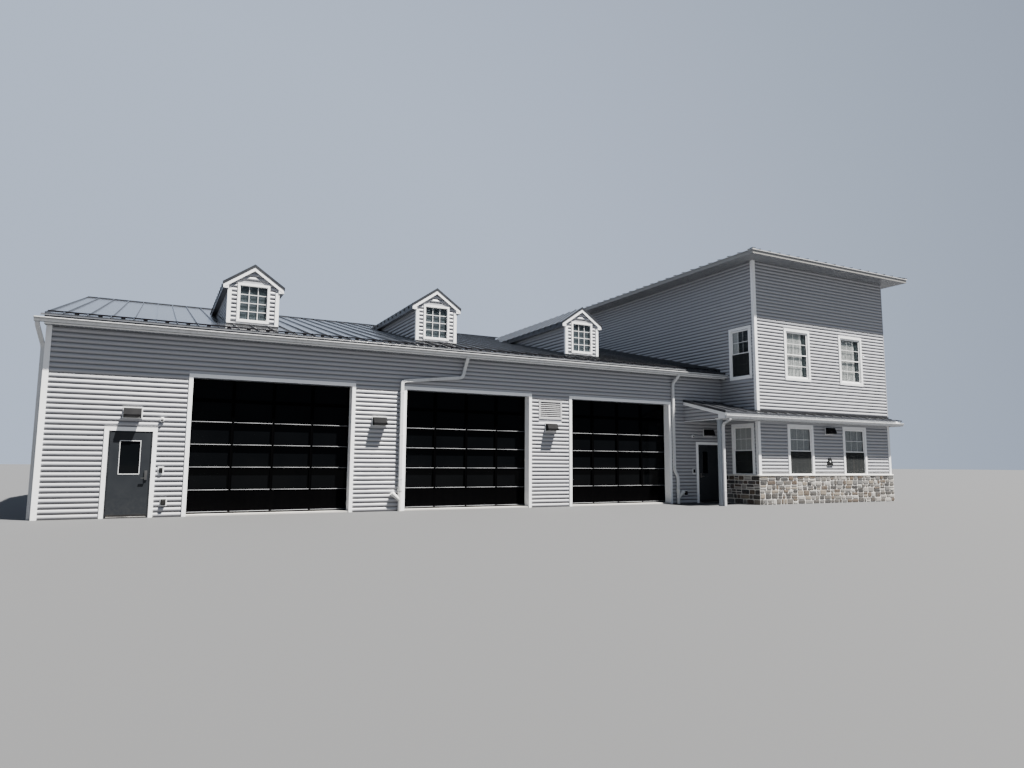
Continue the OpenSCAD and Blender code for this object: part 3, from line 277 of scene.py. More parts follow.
@dataclass(frozen=True)
class Finish:
    """A coated surface: mottled colour, fine relief, dust towards the ground and, where set, painted shade on
    faces that look down.
    """

    name: str
    color: Color
    roughness: float = 0.5
    metallic: float = 0.0
    coat: float = 0.0
    coat_blur: float = 0.03
    mottle: float = 0.07
    patch: float = 1.2
    relief: float = 0.0002
    relief_scale: float = 260.0
    grain: Grain = Grain.EVEN
    dust: float = 0.25
    dust_height: float = 0.9
    streaks: float = 0.08
    dust_color: Color = (0.33, 0.3, 0.26)
    # Colour of faces that look down: painted shade for soffits and the lower faces of boards and gutters.
    shaded_underside: Color | None = None
    alpha: float = 1.0
    specular: float = 0.5

    def tone(self, tree: ShaderTree) -> Socket:
        """Colour before dust: the base colour, mottled and streaked by run-off.

        Args:
            tree: Tree of the material.

        Returns:
            The colour.
        """
        dark = tuple(c * (1 - self.mottle) for c in self.color)
        pale = tuple(min(1.0, c * (1 + self.mottle)) for c in self.color)
        color = tree.mix(tree.noise(1 / self.patch), dark, pale)
        run = tree.ramp(tree.noise(9.0, 4.0, (1, 1, 0.03)), 0.5, 0.75, (0.0, self.streaks))
        return tree.mix(run, color, self.dust_color)

    def dirty(self, tree: ShaderTree, color: Socket) -> Socket:
        """Adds splashed dust that fades out above the ground.

        Args:
            tree: Tree of the material.
            color: Colour under the dust.

        Returns:
            The dusty colour.
        """
        low = tree.ramp(tree.height(), 0.0, self.dust_height, (self.dust, 0.0))
        speck = tree.ramp(tree.noise(14.0, 6.0), 0.35, 0.7)
        return tree.mix(tree.math("MULTIPLY", low, speck), color, self.dust_color)

    def paint_downward_shade(self, tree: ShaderTree, color: Socket) -> Socket:
        """Gives the faces that look down a darker colour: painted shade."""
        under = self.shaded_underside
        return tree.mix(tree.ramp(tree.facing_down(), 0.6, 0.9), color, under) if under else color

    def relief_normal(self, tree: ShaderTree) -> Socket:
        """Fine relief, drawn out along the grain."""
        return tree.bump(tree.noise(self.relief_scale, 4.0, self.grain.value), self.relief)

    def gloss(self, tree: ShaderTree) -> Socket:
        """Roughness, worn unevenly."""
        low, high = max(0.02, self.roughness - 0.08), min(1.0, self.roughness + 0.1)
        return tree.ramp(tree.noise(3.1, 5.0), 0.3, 0.7, (low, high))

    def coat_share(self, tree: ShaderTree) -> Socket | float:
        """How much clear coat the surface carries."""
        return self.coat

    def build(self) -> bpy.types.Material:
        """Makes the material.

        Returns:
            The finished material.
        """
        tree = ShaderTree(self.name)
        return tree.surface({
            "Base Color": self.paint_downward_shade(tree, self.dirty(tree, self.tone(tree))),
            "Roughness": self.gloss(tree),
            "Metallic": self.metallic,
            "Specular IOR Level": self.specular,
            "Coat Weight": self.coat_share(tree),
            "Coat Roughness": self.coat_blur,
            "Alpha": self.alpha,
            "Normal": self.relief_normal(tree),
        })


@dataclass(frozen=True)
class LapFinish(Finish):
    """Embossed lap siding: boards differ a little in tone, with painted shade under each lap and on each
    board's lower edge.
    """

    course: float = 0.128
    painted_lap_shade: Color = (0.025, 0.027, 0.033)

    def tone(self, tree: ShaderTree) -> Socket:
        """Colour by board, with painted shade where a board tucks under the next and on its lower edge.

        Args:
            tree: Tree of the material.

        Returns:
            The colour.
        """
        shade = tree.ramp(tree.attribute("tone"), 0.0, 1.0, (0.0, 0.08))
        varied = tree.mix(shade, super().tone(tree), (0.2, 0.21, 0.24))
        share = tree.math("FRACT", tree.math("DIVIDE", tree.height(), self.course))
        # Painted shade: the top of each course, where the butt above casts its shadow, and the faces looking
        # down are darkened.
        tucked = tree.ramp(share, 0.85, 0.95, (0.0, 0.6))
        lip = tree.ramp(tree.facing_down(), 0.3, 0.8, (0.0, 0.8))
        return tree.mix(tree.math("MAXIMUM", tucked, lip), varied, self.painted_lap_shade)


@dataclass(frozen=True)
class SeamRoofFinish(Finish):
    """Coated roof sheets with slight waves between the seams, water marks and a painted highlight on the hem.
    """

    wave: float = 0.0035
    hem: Span = (9.0, 9.272)
    hem_painted_highlight: Color = (0.4, 0.405, 0.42)

    def coat_share(self, tree: ShaderTree) -> Socket | float:
        """Full gloss on the sheets, little on the upright sides of the seams."""
        rise = tree.math("ABSOLUTE", tree.facing_down())
        return tree.ramp(rise, 0.3, 0.8, (0.3, self.coat))

    def relief_normal(self, tree: ShaderTree) -> Socket:
        """Waves of the sheet under a fine grain."""
        waves = tree.bump(tree.noise(2.3, 1.0), self.wave)
        return tree.bump(tree.noise(self.relief_scale, 3.0), self.relief, under=waves)

    def tone(self, tree: ShaderTree) -> Socket:
        """Colour with dried water marks, and a painted highlight on the hem of the wing's eave.

        Args:
            tree: Tree of the material.

        Returns:
            The colour.
        """
        marks = tree.ramp(tree.noise(5.0, 6.0, (1, 0.25, 0.25)), 0.5, 0.8, (0.0, 0.22))
        color = tree.mix(marks, super().tone(tree), (0.05, 0.053, 0.058))
        # Painted highlight: upright faces between the hem's heights get a pale colour for the sunlit edge of
        # the wing's roof.
        upright = tree.math("LESS_THAN", tree.math("ABSOLUTE", tree.facing_down()), 0.3)
        height = tree.height()
        inside = tree.math("MULTIPLY", tree.math("GREATER_THAN", height, self.hem[0]),
                           tree.math("LESS_THAN", height, self.hem[1]))
        return tree.mix(tree.math("MULTIPLY", upright, inside), color, self.hem_painted_highlight)


@dataclass(frozen=True)
class FieldStoneFinish(Finish):
    """Field stone whose colour comes from the tone that each stone carries."""

    stones: tuple[Color, ...] = (
        (0.07, 0.063, 0.056), (0.16, 0.152, 0.142), (0.032, 0.029, 0.027), (0.25, 0.235, 0.215),
        (0.08, 0.058, 0.04), (0.1, 0.098, 0.096), (0.045, 0.04, 0.037), (0.17, 0.142, 0.11),
        (0.022, 0.021, 0.021), (0.12, 0.112, 0.1), (0.06, 0.041, 0.028), (0.3, 0.29, 0.27),
    )

    def tone(self, tree: ShaderTree) -> Socket:
        """Picks a stone's colour, then clouds and veins it.

        Args:
            tree: Tree of the material.

        Returns:
            The colour.
        """
        ramp = tree.add("ShaderNodeValToRGB", {0: tree.attribute("tone")})
        steps = ramp.color_ramp
        steps.interpolation = "CONSTANT"
        for i, color in enumerate(self.stones):
            step = steps.elements[0] if i == 0 else steps.elements.new(i / len(self.stones))
            step.color = (*color, 1.0)
        steps.elements[-1].color = (*self.stones[-1], 1.0)
        cloud = tree.ramp(tree.noise(16.0, 7.0), 0.45, 0.75, (0.0, 0.26))
        color = tree.mix(cloud, ramp.outputs[0], (0.24, 0.23, 0.21))
        rust = tree.ramp(tree.noise(6.0, 5.0), 0.58, 0.72, (0.0, 0.4))
        return tree.mix(rust, color, (0.15, 0.085, 0.045))

    def relief_normal(self, tree: ShaderTree) -> Socket:
        """Rough split faces with fine pits."""
        coarse = tree.bump(tree.noise(30.0, 8.0), 0.008)
        return tree.bump(tree.noise(170.0, 4.0), 0.002, under=coarse)


@dataclass(frozen=True)
class GlazingFinish:
    """Glass with faint waves, smears and a mottled tint."""

    name: str
    color: Color
    clear: float
    roughness: float = 0.03
    gloss: float = 0.5
    alpha: float = 1.0

    def build(self) -> bpy.types.Material:
        """Makes the material.

        Returns:
            The finished material.
        """
        tree = ShaderTree(self.name)
        smear = tree.ramp(tree.noise(4.0, 6.0), 0.55, 0.8, (self.roughness, self.roughness + 0.12))
        pale = tuple(min(1.0, c * 1.6 + 0.001) for c in self.color)
        return tree.surface({
            "Base Color": tree.mix(tree.noise(1.3, 4.0), self.color, pale),
            "Roughness": smear,
            "IOR": 1.5,
            "Specular IOR Level": self.gloss,
            "Transmission Weight": self.clear,
            "Alpha": self.alpha,
            "Normal": tree.bump(tree.noise(0.9, 1.0), 0.003),
        })


FINISHES: dict[Slot, Finish | GlazingFinish] = {
    Slot.SIDING: LapFinish("lap_siding", (0.37, 0.375, 0.4), 0.45, grain=Grain.LEVEL, relief=0.0006,
                           relief_scale=180, mottle=0.04, patch=2.4),
    # Trim and gutters take painted shade on their faces that look down.
    Slot.TRIM: Finish("white_trim", (0.87, 0.88, 0.89), 0.38, mottle=0.03, streaks=0.05,
                      shaded_underside=(0.14, 0.15, 0.172)),
    Slot.ROOF: SeamRoofFinish("seam_roof", (0.016, 0.018, 0.023), 0.5, coat=1.0, coat_blur=0.14,
                              mottle=0.2, dust=0.0, streaks=0.02, specular=0.3),
    Slot.GUTTER: Finish("gutter_white", (0.6, 0.61, 0.62), 0.33, mottle=0.04, streaks=0.35,
                        shaded_underside=(0.14, 0.15, 0.16), dust_color=(0.22, 0.21, 0.19)),
    Slot.RAIL: Finish("snow_rail_black", (0.006, 0.006, 0.008), 0.75, dust=0.0, streaks=0.01, specular=0.1),
    Slot.DRAIN: Finish("drain_white", (0.68, 0.68, 0.66), 0.45, dust=0.6, dust_height=0.5),
    Slot.WINDOW_FRAME: Finish("window_white", (0.88, 0.88, 0.88), 0.3, mottle=0.02, streaks=0.03),
    Slot.WINDOW_GLASS: GlazingFinish("window_glazing", (0.03, 0.04, 0.042), 0.0, alpha=0.24),
    Slot.DOOR: Finish("door_black", (0.0012, 0.0012, 0.0014), 0.7, mottle=0.2, dust=0.002, streaks=0.001,
                      specular=0.0),
    # Opaque near-black door glazing: painted shade for the unlit hall behind the glass.
    Slot.DOOR_GLASS: GlazingFinish("door_glazing", (0.001, 0.0012, 0.0015), 0.0, gloss=0.05),
    Slot.LEAF: Finish("leaf_slate", (0.0135, 0.0158, 0.0192), 0.5, mottle=0.06, dust=0.03, streaks=0.006,
                      specular=0.25),
    # Opaque near-black leaf glazing: painted shade for the unlit room behind the glass.
    Slot.LEAF_GLASS: GlazingFinish("leaf_glazing", (0.0015, 0.002, 0.0025), 0.0, gloss=0.08),
    Slot.LOCK: Finish("lock_steel", (0.2, 0.195, 0.19), 0.35, metallic=1.0, grain=Grain.UPRIGHT,
                      relief_scale=900, dust=0.0),
    Slot.STONE: FieldStoneFinish("field_stone", (0.4, 0.38, 0.34), 0.85, dust=0.1),
    Slot.CAP: Finish("cap_stone", (0.6, 0.59, 0.56), 0.8, mottle=0.14, patch=0.2, relief=0.002,
                     relief_scale=120),
    Slot.CONCRETE: Finish("floor_concrete", (0.42, 0.41, 0.39), 0.75, mottle=0.12, relief=0.001,
                          relief_scale=90),
    Slot.LIGHT: Finish("light_bronze", (0.007, 0.007, 0.008), 0.75, mottle=0.15, relief=0.0004,
                       relief_scale=700, dust=0.0, streaks=0.0, specular=0.1),
    Slot.LOUVRE: Finish("louvre_grey", (0.42, 0.42, 0.43), 0.4, mottle=0.05, dust=0.0),
    Slot.BOX: Finish("box_plastic", (0.007, 0.0075, 0.008), 0.6, mottle=0.12, dust=0.05, streaks=0.0,
                     specular=0.2),
}

# Grey of the rail noses: painted highlight, lighter than the black door so that the rails' sunlit edges show
# as thin light lines.
NOSE_HIGHLIGHT = Finish("rail_nose", (0.2, 0.205, 0.215), 0.55, dust=0.0, grain=Grain.LEVEL, specular=0.3)
MORTAR = Finish("mortar", (0.6, 0.58, 0.54), 0.92, mottle=0.14, patch=0.25, relief=0.004,
                relief_scale=150)
LENS = Finish("light_lens", (0.2, 0.2, 0.19), 0.3, mottle=0.05, dust=0.0)
RUBBER = Finish("seal_rubber", (0.006, 0.006, 0.0065), 0.85, mottle=0.2, dust=0.06, dust_height=0.15,
                specular=0.2)
SCREEN = Finish("insect_screen", (0.021, 0.0235, 0.0245), 0.7, mottle=0.1, dust=0.0, alpha=0.72, specular=0.2)
PALE_PLASTIC = Finish("pale_plastic", (0.66, 0.67, 0.68), 0.4, mottle=0.05, dust=0.1)
BLIND = Finish("blind_vane", (0.84, 0.87, 0.86), 0.6, mottle=0.06, dust=0.0, grain=Grain.UPRIGHT)
# Eave boards of the wing: partly their own grey, partly painted shade for the roof edge's shadow on them;
# faces that look down take painted shade too.
EAVE_SHADED_GREY = Finish("eave_board_painted_shade", (0.25, 0.246, 0.236), 0.45, mottle=0.05, shaded_underside=(0.14, 0.15, 0.172))
POST = Finish("corner_post_grey", (0.34, 0.345, 0.37), 0.5, mottle=0.04)
# Grey-blue of the porch post: partly its own grey, partly painted shade for the shade it stands in.
POST_WRAP_SHADE = Finish("post_wrap_grey", (0.33, 0.36, 0.395), 0.5, mottle=0.05, grain=Grain.UPRIGHT, specular=0.3)
# Dark bluish panel behind the dormer glass: painted shade of the space behind, tinted as painted sky
# reflection.
DORMER_SHADE_PANEL = Finish("dormer_shade_panel", (0.075, 0.095, 0.115), 0.6, mottle=0.08, patch=0.5, dust=0.0)
SMOKED = Finish("smoked_dome", (0.004, 0.004, 0.005), 0.2, mottle=0.05, dust=0.0)
PENT_SHEET = SeamRoofFinish("pent_sheet", (0.03, 0.032, 0.038), 0.4, coat=1.0, coat_blur=0.06, mottle=0.2,
                            dust=0.0, streaks=0.02, specular=0.6)
FLASHING = Finish("flashing_dark", (0.02, 0.021, 0.024), 0.4, metallic=0.3, mottle=0.2, dust=0.0)


@functools.cache
def material(finish: Finish | GlazingFinish | Slot) -> bpy.types.Material:
    """Makes the material of a finish or slot, once."""
    return (FINISHES[finish] if isinstance(finish, Slot) else finish).build()


def side_faces(count: int, rings: int = 2) -> list[Face]:
    """Faces between rings of points that follow each other.

    Args:
        count: Points in each ring.
        rings: How many rings there are.

    Returns:
        The faces, ring by ring.
    """
    pairs = [(k, (k + 1) % count) for k in range(count)]
    return [(foot + a, foot + b, foot + count + b, foot + count + a)
            for foot in range(0, (rings - 1) * count, count) for a, b in pairs]


class Mesh:
    """Vertices and faces of one piece, gathered before it becomes an object."""

    def __init__(self) -> None:
        """Starts an empty mesh."""
        self.verts: list[Vector] = []
        self.faces: list[Face] = []
        self.edges: list[tuple[int, int]] = []

    def add(self, verts: Iterable[Sequence[float]], faces: Iterable[Sequence[int]]) -> None:
        """Adds faces over new vertices.

        Args:
            verts: New points, in the frame.
            faces: Faces that count from the first of these points.
        """
        start = len(self.verts)
        self.verts += [Vector(v) for v in verts]
        self.faces += [tuple(start + i for i in face) for face in faces]

    def skin(self, rings: Sequence[Sequence[Vector]]) -> None:
        """Adds a closed skin over rings of points.

        Args:
            rings: Rings of as many points each, from end to end.
        """
        count, last = len(rings[0]), (len(rings) - 1) * len(rings[0])
        ends = [tuple(range(count))[::-1], tuple(range(last, last + count))]
        self.add([point for ring in rings for point in ring], side_faces(count, len(rings)) + ends)

    def edge(self, a: Vector, b: Vector) -> None:
        """Adds a loose edge between two points."""
        self.edges.append((len(self.verts), len(self.verts) + 1))
        self.verts += [a, b]

    def block(self, low: Sequence[float], high: Sequence[float], chamfer: float = 0.0) -> None:
        """Adds a block between two corners in building coordinates.

        Args:
            low: One corner.
            high: The other corner.
            chamfer: Width of the chamfer on every edge.
        """
        a = place(*(min(p, q) for p, q in zip(low, high)))
        b = place(*(max(p, q) for p, q in zip(low, high)))
        work = bmesh.new()
        bmesh.ops.create_cube(work, size=1.0)
        for v in work.verts:
            v.co = Vector(a[i] if v.co[i] < 0 else b[i] for i in range(3))
        if chamfer > 0:
            bmesh.ops.bevel(work, geom=list(work.edges), offset=chamfer, segments=1, affect="EDGES")
        work.verts.index_update()
        self.add([v.co.copy() for v in work.verts], [[v.index for v in f.verts] for f in work.faces])
        work.free()

    def tube(self, path: Sequence[Point], section: Sequence[Span], up: Vector = UP) -> None:
        """Sweeps a closed section along a path with mitred corners.

        Args:
            path: Points in building coordinates.
            section: Points of the section across the path, counter-clockwise, as side and up.
            up: Direction that the section's up follows at the start.
        """
        points = [place(*p) for p in path]
        rings: list[list[Vector]] = []
        side = Vector((1, 0, 0))
        for i, point in enumerate(points):
            before = (point - points[i - 1]).normalized() if i else None
            after = (points[i + 1] - point).normalized() if i + 1 < len(points) else None
            along = ((before or after) + (after or before)).normalized()
            if i == 0:
                side = along.cross(up).normalized()
            side = (side - along * side.dot(along)).normalized()
            rise = side.cross(along).normalized()
            widen = 1.0 / max(0.5, along.dot(after or before))
            turn = (after - before) if before and after and (after - before).length > 1e-6 else None
            ring = []
            for u, v in section:
                offset = side * u + rise * v
                if turn is not None:
                    out = turn.normalized()
                    offset += out * offset.dot(out) * (widen - 1.0)
                ring.append(point + offset)
            rings.append(ring)
        self.skin(rings)

    def round_bar(self, path: Sequence[Point], radius: float, sides: int = 16) -> None:
        """Sweeps a circle along a path."""
        turns = (2 * math.pi * k / sides for k in range(sides))
        self.tube(path, [(radius * math.cos(a), radius * math.sin(a)) for a in turns])

    def prism(self, outline: Sequence[Span], front: float, back: Edge) -> None:
        """Adds a bar that runs back from an upright plane.

        Args:
            outline: Its section, as x and z in building coordinates.
            front: Where the bar starts.
            back: Where it ends, for a height.
        """
        count = len(outline)
        rings = [place(x, front, z) for x, z in outline] + [place(x, back(z), z) for x, z in outline]
        ends = [tuple(range(count)), tuple(range(2 * count - 1, count - 1, -1))]
        self.add(rings, side_faces(count) + ends)

    def turned(self, foot: Point, along: Vector, profile: Sequence[Span], sides: int = 20) -> None:
        """Adds a turned shape.

        Args:
            foot: Start of its axis in building coordinates.
            along: Direction of the axis.
            profile: Distance along the axis and radius, from end to end.
            sides: Faces round it.
        """
        start, side = place(*foot), along.orthogonal().normalized()
        rise = along.cross(side).normalized()
        turns = [2 * math.pi * k / sides for k in range(sides)]
        self.skin([[start + along * t + (side * math.cos(a) + rise * math.sin(a)) * r for a in turns]
                   for t, r in profile])

    def slab(self, foot: Sequence[Point], rise: float) -> None:
        """Adds a slab over four foot points in building coordinates, rise high."""
        low = [place(*p) for p in foot]
        self.add(low + [p + UP * rise for p in low], [(3, 2, 1, 0), (4, 5, 6, 7)] + side_faces(4))

    def to_object(self, name: str, smooth: bool = False, flat: bool = False) -> bpy.types.Object:
        """Makes the object, with no material yet.

        Args:
            name: Name of the piece.
            smooth: Whether faces are shaded smoothly.
            flat: Whether its faces are loose cells that already look outwards.

        Returns:
            The object, with its place in its mesh.
        """
        data = bpy.data.meshes.new(name)
        data.from_pydata([tuple(v) for v in self.verts], self.edges, self.faces)
        if self.faces and not flat:
            work = bmesh.new()
            work.from_mesh(data)
            bmesh.ops.recalc_face_normals(work, faces=list(work.faces))
            work.to_mesh(data)
            work.free()
            for polygon in data.polygons:
                polygon.use_smooth = smooth
        return link(name, data)


def soften(path: Sequence[Point], reach: float, steps: int = 5) -> list[Point]:
    """Rounds the inner corners of a path.

    Args:
        path: Points of the path.
        reach: How far from a corner its curve starts.
        steps: Parts of each curve.

    Returns:
        The rounded path.
    """
    points = [Vector(p) for p in path]
    made = [points[0]]
    for before, here, after in zip(points, points[1:], points[2:]):
        a = here + (before - here).normalized() * min(reach, (before - here).length * 0.48)
        b = here + (after - here).normalized() * min(reach, (after - here).length * 0.48)
        made += [a * (1 - k / steps) ** 2 + here * (2 * k / steps * (1 - k / steps)) + b * (k / steps) ** 2
                 for k in range(steps + 1)]
    made.append(points[-1])
    return [tuple(p) for p in made]


def finish_piece(piece: bpy.types.Object, slot: Slot, body: Body = Body.BUILDING,
                 finish: Finish | GlazingFinish | None = None, replaces: Sequence[str] = ()) -> None:
    """Gives a piece its material, from its slot or its own finish, and its body.

    Args:
        piece: The object, in place.
        slot: Material slot of the record that it takes its finish from.
        body: Body that it rides on.
        finish: Finish of its own, where it isn't the slot's.
        replaces: Nodes of the frame that it stands for.
    """
    piece.data.materials.clear()
    piece.data.materials.append(material(finish or slot))
    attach(piece, body.value)
    if replaces:
        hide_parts(*replaces)
    log.info("%s: %d faces on %s", piece.name, len(piece.data.polygons), body.value)


def link(name: str, data: bpy.types.ID) -> bpy.types.Object:
    """Makes an object and links it into the scene.

    Args:
        name: Name of the object.
        data: Its mesh, camera or light.

    Returns:
        The object.
    """
    made = bpy.data.objects.new(name, data)
    bpy.context.scene.collection.objects.link(made)
    return made


class GrowTree(NodeTree):
    """A Geometry Nodes tree with named inputs, used once on a piece and then baked into it."""

    def __init__(self, name: str, sizes: dict[str, float], seed: int = 7) -> None:
        """Starts the tree.

        Args:
            name: Name of the tree.
            sizes: Named inputs with the values that this piece uses, in metres.
            seed: Seed of anything random in it.
        """
        super().__init__(bpy.data.node_groups.new(name, "GeometryNodeTree"))
        self.sizes, self.seed = sizes, seed
        self.socket("Geometry")
        self.ids = {key: self.socket(key, "Float") for key in sizes}
        self.material_id = self.socket("Finish", "Material")
        self.socket("Geometry", way="OUTPUT")
        self.start, self.end = self.add("NodeGroupInput"), self.add("NodeGroupOutput")

    def socket(self, name: str, kind: str = "Geometry", way: str = "INPUT") -> str:
        """Adds an input or output to the tree and returns its identifier."""
        return self.tree.interface.new_socket(name, in_out=way, socket_type="NodeSocket" + kind).identifier

    def size(self, name: str) -> Socket:
        """The socket of a named input."""
        return self.start.outputs[name]

    def point(self, x: object, y: object) -> Socket:
        """A flat point from two sockets or numbers."""
        return self.add("ShaderNodeCombineXYZ", {0: x, 1: y, 2: 0.0}).outputs[0]

    def random(self, offset: int = 0) -> Socket:
        """A random number from 0 to 1 for each element, from the tree's fixed seed and an offset."""
        return self.add("FunctionNodeRandomValue", {"Seed": self.seed + offset}, data_type="FLOAT").outputs[1]

    def toned(self, geometry: Socket, on: str) -> Socket:
        """Stores a random tone on each element of a kind."""
        inputs = {0: geometry, "Name": "tone", "Value": self.random()}
        return self.add("GeometryNodeStoreNamedAttribute", inputs, data_type="FLOAT", domain=on).outputs[0]

    def close(self, geometry: Socket) -> None:
        """Ends the tree with realized instances and its material.

        Args:
            geometry: What the tree has made.
        """
        real = self.add("GeometryNodeRealizeInstances", {0: geometry}).outputs[0]
        dressed = self.add("GeometryNodeSetMaterial", {0: real, "Material": self.start.outputs["Finish"]})
        self.tree.links.new(dressed.outputs[0], self.end.inputs[0])

    def bake(self, guide: bpy.types.Object, name: str, finish: bpy.types.Material) -> bpy.types.Object:
        """Runs the tree on a guide and keeps the plain mesh.

        Args:
            guide: Object whose mesh the tree works on; it is removed.
            name: Name of the piece.
            finish: Material that the tree sets.

        Returns:
            The piece, a plain mesh in place.
        """
        modifier = guide.modifiers.new(name, "NODES")
        modifier.node_group = self.tree
        for key, value in self.sizes.items():
            modifier[self.ids[key]] = value
        modifier[self.material_id] = finish
        graph = bpy.context.evaluated_depsgraph_get()
        data = bpy.data.meshes.new_from_object(guide.evaluated_get(graph))
        data.name = name
        guide.modifiers.remove(modifier)
        bpy.data.objects.remove(guide)
        return link(name, data)


def sweep_tree(name: str, sizes: dict[str, float],
               corners: Sequence[tuple[str | float, str | float]]) -> GrowTree:
    """Tree that sweeps a four-cornered section along each edge of its guide.

    Args:
        name: Name of the tree.
        sizes: Named sizes of the section, in metres.
        corners: How far each corner stands out and hangs down, as names of sizes or numbers.

    Returns:
        The tree.
    """
    tree = GrowTree(name, sizes)
    curve = tree.toned(tree.add("GeometryNodeMeshToCurve", {0: tree.start.outputs[0]}).outputs[0], "CURVE")
    upright = tree.add("GeometryNodeSetCurveNormal", {0: curve}, mode="Z_UP").outputs[0]
    shape = tree.add("GeometryNodeCurvePrimitiveQuadrilateral", mode="POINTS")
    for number, corner in enumerate(corners, 1):
        out, down = (tree.size(part) if isinstance(part, str) else part for part in corner)
        tree.tree.links.new(tree.point(out, down), shape.inputs[f"Point {number}"])
    inputs = {"Curve": upright, "Profile Curve": shape.outputs[0], "Fill Caps": True}
    tree.close(tree.add("GeometryNodeCurveToMesh", inputs).outputs[0])
    return tree


# How far the corners of a lap board stand out and hang down.
LAP = ((0.0, 0.0), ("Lip", 0.0), ("Butt", "Course"), (0.0, "Course"))
# Share of a stone's depth and scale of its face, for each step of the pillow.
PILLOW = ((0.6, 0.96), (0.3, 0.86), (0.1, 0.6))


def stone_tree(depth: float, spread: float) -> GrowTree:
    """Tree that raises each flat cell into a pillowed stone.

    Args:
        depth: How far the shallowest stone stands out.
        spread: How much further the deepest one stands out.

    Returns:
        The tree.
    """
    tree = GrowTree("field_stones", {"Depth": depth, "Spread": spread})
    body = tree.toned(tree.start.outputs[0], "FACE")
    out = tree.math("ADD", tree.math("MULTIPLY", tree.random(3), tree.size("Spread")), tree.size("Depth"))
    back = tree.add("GeometryNodeFlipFaces", {0: body}).outputs[0]
    top = None
    for part, scale in PILLOW:
        inputs = {"Mesh": body, "Offset Scale": tree.math("MULTIPLY", out, part), "Individual": True}
        if top is not None:
            inputs["Selection"] = top
        raised = tree.add("GeometryNodeExtrudeMesh", inputs)
        top = raised.outputs["Top"]
        inputs = {"Geometry": raised.outputs[0], "Selection": top, "Scale": scale}
        body = tree.add("GeometryNodeScaleElements", inputs).outputs[0]
    joined = tree.add("GeometryNodeJoinGeometry")
    for side in (body, back):
        tree.tree.links.new(side, joined.inputs[0])
    inputs = {0: joined.outputs[0], "Distance": 0.0001}
    tree.close(tree.add("GeometryNodeMergeByDistance", inputs).outputs[0])
    return tree


def grow_piece(tree: GrowTree, guide: Mesh, name: str, slot: Slot, body: Body = Body.BUILDING,
               replaces: Sequence[str] = ()) -> None:
    """Bakes a tree over its guide and finishes the piece.

    Args:
        tree: Tree that makes the piece.
        guide: Points, edges or flat cells that the tree works on.
        name: Name of the piece.
        slot: Material slot of the record.
        body: Body that the piece rides on.
        replaces: Nodes of the frame that it stands for.
    """
    start = guide.to_object(name + "_guide", flat=True)
    finish_piece(tree.bake(start, name, material(slot)), slot, body, replaces=replaces)


class Assembly(Protocol):
    """A group of pieces of the building."""

    def build(self) -> None:
        """Makes the group's pieces."""


@dataclass
class Wall:
    """One clad face: courses run along it, round its openings.

    The direction is chosen so that the outside is on the right of it, seen from above.
    """

    start: Span
    along: Span
    length: float
    bottom: Edge
    top: Edge
    holes: list[Hole] = field(default_factory=list)
    step: float = 0.4
    slack: Span = (0.03, 0.002)

    def covered(self, u: float, low: float, high: float) -> bool:
        """Whether a board has room at a place.

        Args:
            u: The place, along the wall.
            low: Lower edge of the board.
            high: Upper edge of the board.

        Returns:
            True if it lies on the wall and clear of every opening.
        """
        under, over = self.slack
        if low < self.bottom(u) - under or high > self.top(u) + over:
            return False
        return not any(a < u < b and low < d and high > c for a, b, c, d in self.holes)

    def runs(self, low: float, high: float) -> list[Span]:
        """Stretches of the wall that a board from low to high covers.

        Args:
            low: Lower edge of the board.
            high: Upper edge of the board.

        Returns:
            Start and end of each stretch along the wall.
        """
        marks = {0.0, self.length}
        for a, b, _, _ in self.holes:
            marks |= {max(0.0, a), min(self.length, b)}
        steps = max(1, round(self.length / self.step))
        marks |= {self.length * i / steps for i in range(steps + 1)}
        ordered = sorted(marks)
        spans: list[list[float]] = []
        for a, b in zip(ordered, ordered[1:]):
            if b - a < 1e-6 or not self.covered((a + b) / 2, low, high):
                continue
            if spans and abs(spans[-1][1] - a) < 1e-6:
                spans[-1][1] = b
            else:
                spans.append([a, b])
        return [(a, b) for a, b in spans]

    def point(self, u: float, z: float, out: float = 0.0) -> Vector:
        """A point at u along the wall and z up, moved outwards."""
        dx, dy = self.along
        return place(self.start[0] + dx * u + dy * out, self.start[1] + dy * u - dx * out, z)


def bare_face(start: Span, along: Span, length: float = 0.0) -> Wall:
    """A face that only gives places, with no boards of its own."""
    return Wall(start, along, length, level(0.0), level(0.0))


